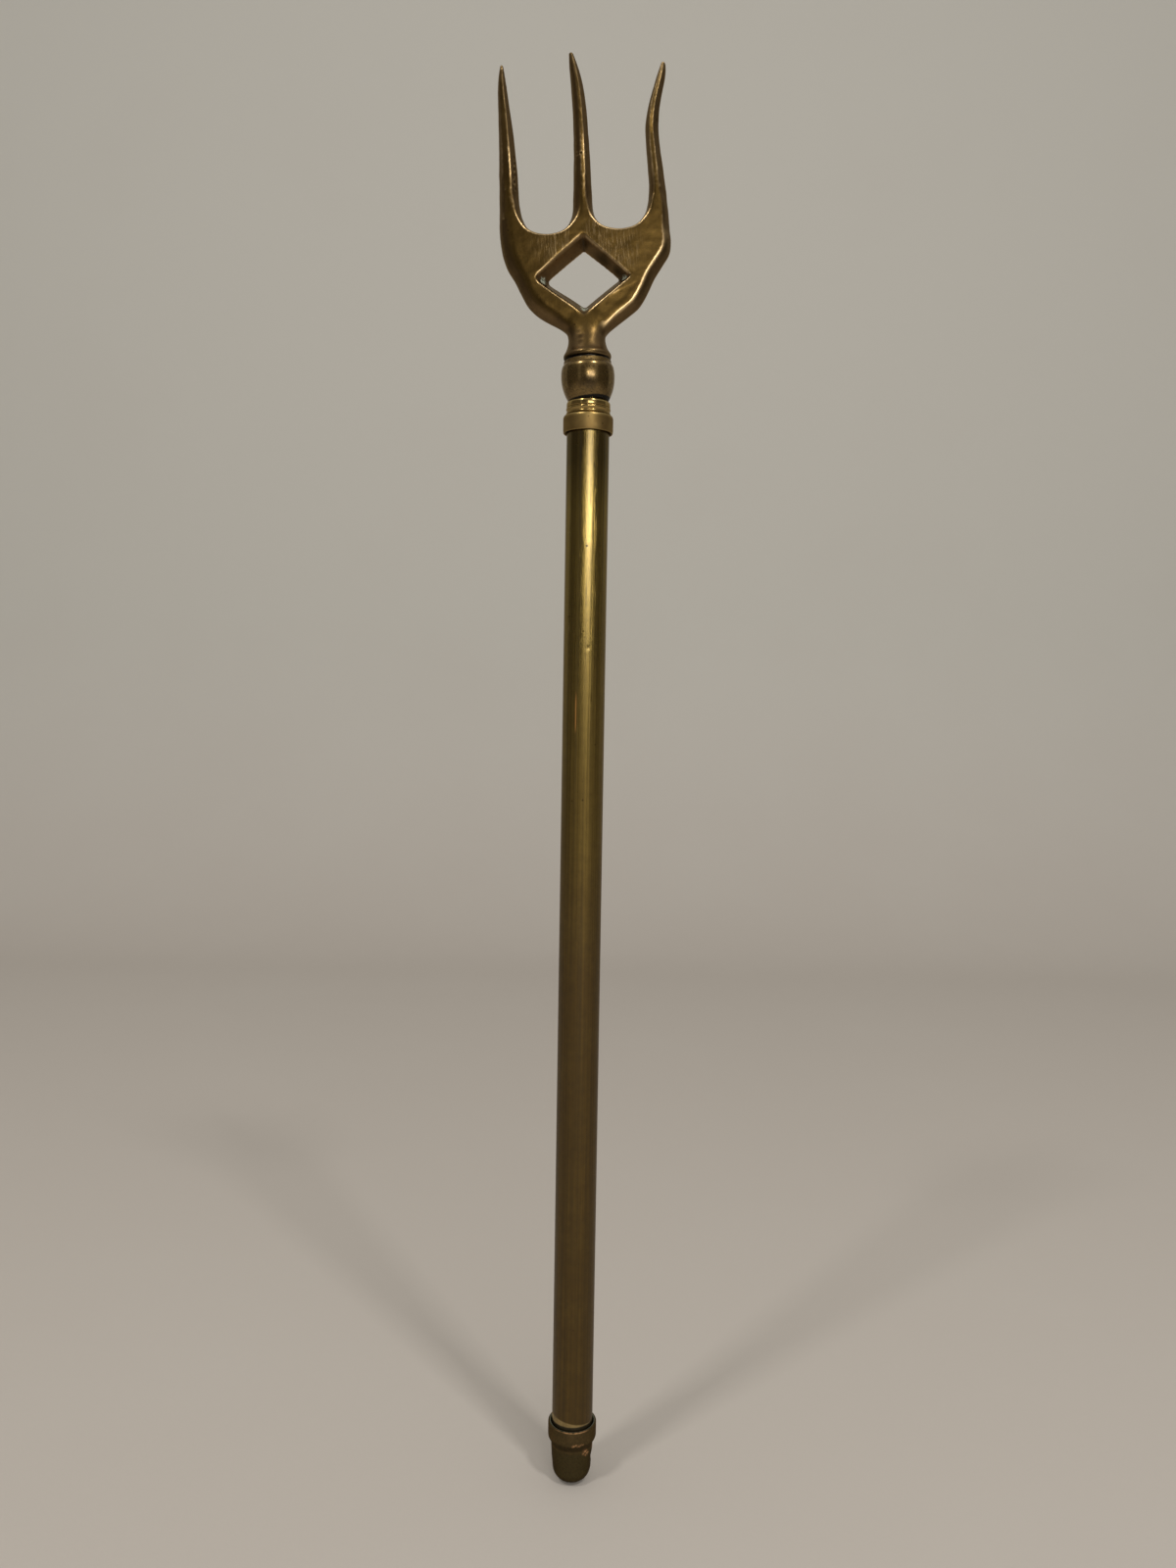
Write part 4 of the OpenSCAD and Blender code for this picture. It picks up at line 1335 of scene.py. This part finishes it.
    def file_soft(self, head: Thing) -> None:
        """Files the neck into the palm, the tines into their roots, and the piercing's upper edges round."""
        place = np.empty(len(head.data.vertices) * 3)
        head.data.vertices.foreach_get("co", place)
        u, y, v = place.reshape(-1, 3).T / MM
        neck = np.interp(v, self.neck_filed, (0, 1, 1, 0)) * (y < 3)
        roots = np.interp(v, self.roots_filed, (0, 1, 1, 0))
        peak_u, peak_v, _ = self.pierce_front[0]
        right = u > peak_u
        rise = peak_v + (u - peak_u) * np.where(right, self.rim_slopes[1], self.rim_slopes[0])
        rims = np.interp(np.abs(v - rise), self.rim_reach, (1, 0)) * (np.abs(u) < self.rim_half) * (y < 0)
        rims = rims * np.where(right, 1, 0.4)
        for name, weights, rounds in (("neck", neck, 70), ("roots", roots, 60), ("rims", rims, 30)):
            group = head.vertex_groups.new(name=name)
            for index in np.flatnonzero(weights > 0.01):
                group.add([int(index)], float(weights[index]), "REPLACE")
            apply_modifier(head, "SMOOTH", factor=0.5, iterations=rounds, vertex_group=name)

    def scar(self, head: Thing) -> None:
        """Presses casting pits into the left tine and a crease into the middle one."""
        inwards = Vector((-0.6, 0.8, 0))
        dents = [(self.on_head(u, -1.2, v), inwards * depth, reach) for u, v, depth, reach in self.pits]
        for u in self.crease:
            dents.append((self.on_head(u, -2.9, self.crease_up + 0.1 * u), Vector((0, 0.2, 0)), 0.5))
        press(head, dents)


@dataclass
class HiddenWorks:
    """Pieces inside the tubes, which keep the shapes of the frame."""

    finishes: dict[str, Finish] = field(default_factory=lambda: {
        "drag_spring": ShopMetal("spring_brass", clean=(0.46, 0.34, 0.15), dull=(0.27, 0.19, 0.08),
                                 rough=0.3),
        "stop_bush": TurnedBrass(), "neck_plug": TurnedBrass(),
        "stop_pin": ShopMetal(), "head_stud": ShopMetal()})

    def build(self) -> None:
        """Dresses the frame's own pieces."""
        for node, finish in self.finishes.items():
            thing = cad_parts[node]
            thing.data.materials.clear()
            thing.data.materials.append(finish.material())
            LOG.info("%s keeps its shape and gets %s", node, finish.slot)


def finish_piece(piece: Thing, finish: Finish, body: Body, nodes: Sequence[str],
                 angle: float) -> Thing:
    """Smooths and dresses a piece, and lets it ride in place of its nodes.

    Args:
        piece: The finished mesh.
        finish: Its finish.
        body: The body that it rides on.
        nodes: Nodes of the frame that it stands for.
        angle: Edges sharper than this stay crisp, in degrees.

    Returns:
        The piece.
    """
    only(piece)
    bpy.ops.object.shade_smooth_by_angle(angle=math.radians(angle))
    finish.dress(piece)
    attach(piece, body.value)
    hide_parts(*nodes)
    piece.data.calc_loop_triangles()
    LOG.info("%s: %d triangles on %s", piece.name, len(piece.data.loop_triangles), body.value)
    return piece


# Studio

@dataclass(frozen=True)
class PaperGround(Finish):
    """Pale warm paper for the floor and the backdrop."""

    slot: str = "paper"
    depth: float = 0.03
    floor: Colour = (0.525, 0.487, 0.45)
    # Painted light: the backdrop gets a lighter paper than the floor, making up for the lamp light that falls
    # off towards it.
    wall: Colour = (0.59, 0.578, 0.542)

    def paint(self, graph: Graph) -> Surface:
        """Mixes the floor's tone into the wall's lighter one, which is painted light, a little cloudy."""
        place = graph.place()
        rise = graph.level(graph.axis(place, "Z"), 0.0, 0.35)
        cloud = graph.level(graph.grain(place, 6.0, 3.0), 0.2, 0.8, -0.1, 0.1)
        colour = graph.blend(graph.plus(rise, cloud, clamp=True), self.floor, self.wall)
        return colour, 0.9, 0.0, graph.grain(place, 900.0, 4.0)


@dataclass(frozen=True)
class DarkCloth(Finish):
    """Dark cloth of the cards that only show as dark bands in the metal."""

    slot: str = "cloth"
    depth: float = 0.1
    dark: Colour = (0.24, 0.228, 0.204)

    def paint(self, graph: Graph) -> Surface:
        """Gives the cloth one dark tone and a fine weave."""
        return self.dark, 1.0, 0.0, graph.grain(graph.place(), 300.0)


@dataclass
class Lamp:
    """A soft rectangular lamp, aimed at the upper half of the object."""

    name: str
    azimuth: float
    elevation: float
    distance: float
    width: float
    tall: float
    watts: float
    aim: float = 0.31
    tint: Colour = (1.0, 0.97, 0.92)

    def build(self) -> None:
        """Sets the lamp up."""
        way, rise = math.radians(self.azimuth), math.radians(self.elevation)
        light = bpy.data.lights.new(self.name, "AREA")
        light.shape = "RECTANGLE"
        light.size = self.width
        light.size_y = self.tall
        light.energy = self.watts
        light.color = self.tint
        stand = bpy.data.objects.new(self.name, light)
        bpy.context.scene.collection.objects.link(stand)
        out = Vector((math.sin(way) * math.cos(rise), -math.cos(way) * math.cos(rise), math.sin(rise)))
        stand.location = Vector((0, 0, self.aim)) + out * self.distance
        stand.rotation_euler = out.to_track_quat("Z", "Y").to_euler()


@dataclass
class Card:
    """A dark card beside the object that only the metal sees."""

    azimuth: float
    width: float
    tall: float = 1.5
    distance: float = 1.7

    def build(self, cloth: Finish) -> None:
        """Hangs the card down to the floor, facing the object."""
        bpy.ops.object.select_all(action="DESELECT")
        bpy.ops.mesh.primitive_plane_add(size=1.0)
        card = bpy.context.active_object
        card.name = f"card_{round(self.azimuth)}"
        way = math.radians(self.azimuth)
        side = Vector((math.cos(way), math.sin(way), 0)) * self.width
        middle = Vector((self.distance * math.sin(way), -self.distance * math.cos(way), self.tall / 2))
        for vertex in card.data.vertices:
            vertex.co = middle + side * vertex.co.x + Vector((0, 0, vertex.co.y * self.tall))
        card.data.materials.append(cloth.material())
        card.visible_camera = False
        card.visible_diffuse = False
        card.visible_shadow = False


@dataclass
class Studio:
    """Pale paper ground, soft lamps, dark cards and the camera."""

    paper: Finish = PaperGround()
    cloth: Finish = DarkCloth()
    wall_at: float = 1.05
    half_width: float = 2.2
    wall_tall: float = 2.2
    sweep: float = 0.35
    sweep_parts: int = 16
    lamps: tuple[Lamp, ...] = (
        Lamp("front_lamp", azimuth=13.0, elevation=9.7, distance=1.2, width=0.6, tall=0.17, watts=4.8),
        Lamp("high_left_lamp", azimuth=-43.0, elevation=50.0, distance=1.5, width=0.18, tall=0.18, watts=5.4),
        Lamp("high_right_lamp", azimuth=33.0, elevation=50.0, distance=1.5, width=0.16, tall=0.16, watts=6.6))
    cards: tuple[Card, ...] = (Card(72.0, 2.0), Card(-72.0, 2.0), Card(0.0, 2.2))
    sky: Colour = (0.42, 0.405, 0.375)
    eye: Corner = (0.0017, -0.3564, 0.2439)
    right: Corner = (0.99987, 0.0011, 0.0164)
    up: Corner = (-0.0164, 0.0673, 0.9976)
    back: Corner = (0.0, -0.9977, 0.0673)
    lens: float = 27.0
    sensor: float = 36.0

    def build(self) -> None:
        """Sets up ground, cards, lamps, world and camera."""
        self.lay_ground()
        for card in self.cards:
            card.build(self.cloth)
        for lamp in self.lamps:
            lamp.build()
        self.set_world()
        self.set_camera()

    def lay_ground(self) -> None:
        """Lays the floor and sweeps it up into the backdrop."""
        bpy.ops.object.select_all(action="DESELECT")
        bpy.ops.mesh.primitive_plane_add(size=2.0)
        ground = bpy.context.active_object
        ground.name = "paper_ground"
        for vertex in ground.data.vertices:
            vertex.co.x *= self.half_width
            vertex.co.y = self.wall_at if vertex.co.y > 0 else -self.half_width
        with editing(ground):
            pick(ground, lambda v: v.co.y > 0)
            bpy.ops.mesh.extrude_region_move(TRANSFORM_OT_translate={"value": (0, 0, self.wall_tall)})
            pick(ground, lambda v: v.co.y > 0 and v.co.z < 0.01)
            bpy.ops.mesh.bevel(offset=self.sweep, segments=self.sweep_parts, affect="EDGES")
        only(ground)
        bpy.ops.object.shade_smooth()
        ground.data.materials.append(self.paper.material())

    def set_world(self) -> None:
        """Lights the room evenly with a pale sky."""
        world = bpy.data.worlds.new("pale_room")
        world.use_nodes = True
        world.node_tree.nodes["Background"].inputs["Color"].default_value = (*self.sky, 1.0)
        bpy.context.scene.world = world

    def set_camera(self) -> None:
        """Puts the camera at the photo's point of view."""
        lens = bpy.data.cameras.new("camera")
        lens.lens = self.lens
        lens.sensor_width = self.sensor
        lens.clip_start = 0.01
        camera = bpy.data.objects.new("camera", lens)
        bpy.context.scene.collection.objects.link(camera)
        rows = list(zip(self.right, self.up, self.back, self.eye))
        camera.matrix_world = Matrix(rows + [(0, 0, 0, 1)])
        bpy.context.scene.camera = camera


def main() -> None:
    """Builds the fork and its studio."""
    logging.basicConfig(level=logging.INFO, format="%(name)s %(message)s")
    bpy.context.scene.view_settings.view_transform = "Standard"
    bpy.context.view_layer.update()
    Studio().build()
    for maker in (HandleTube(), TopFerrule(), EndCap(), InnerTube(), BallKnop(), ForkHead()):
        maker.build()
    HiddenWorks().build()


if __name__ == "__main__":
    main()
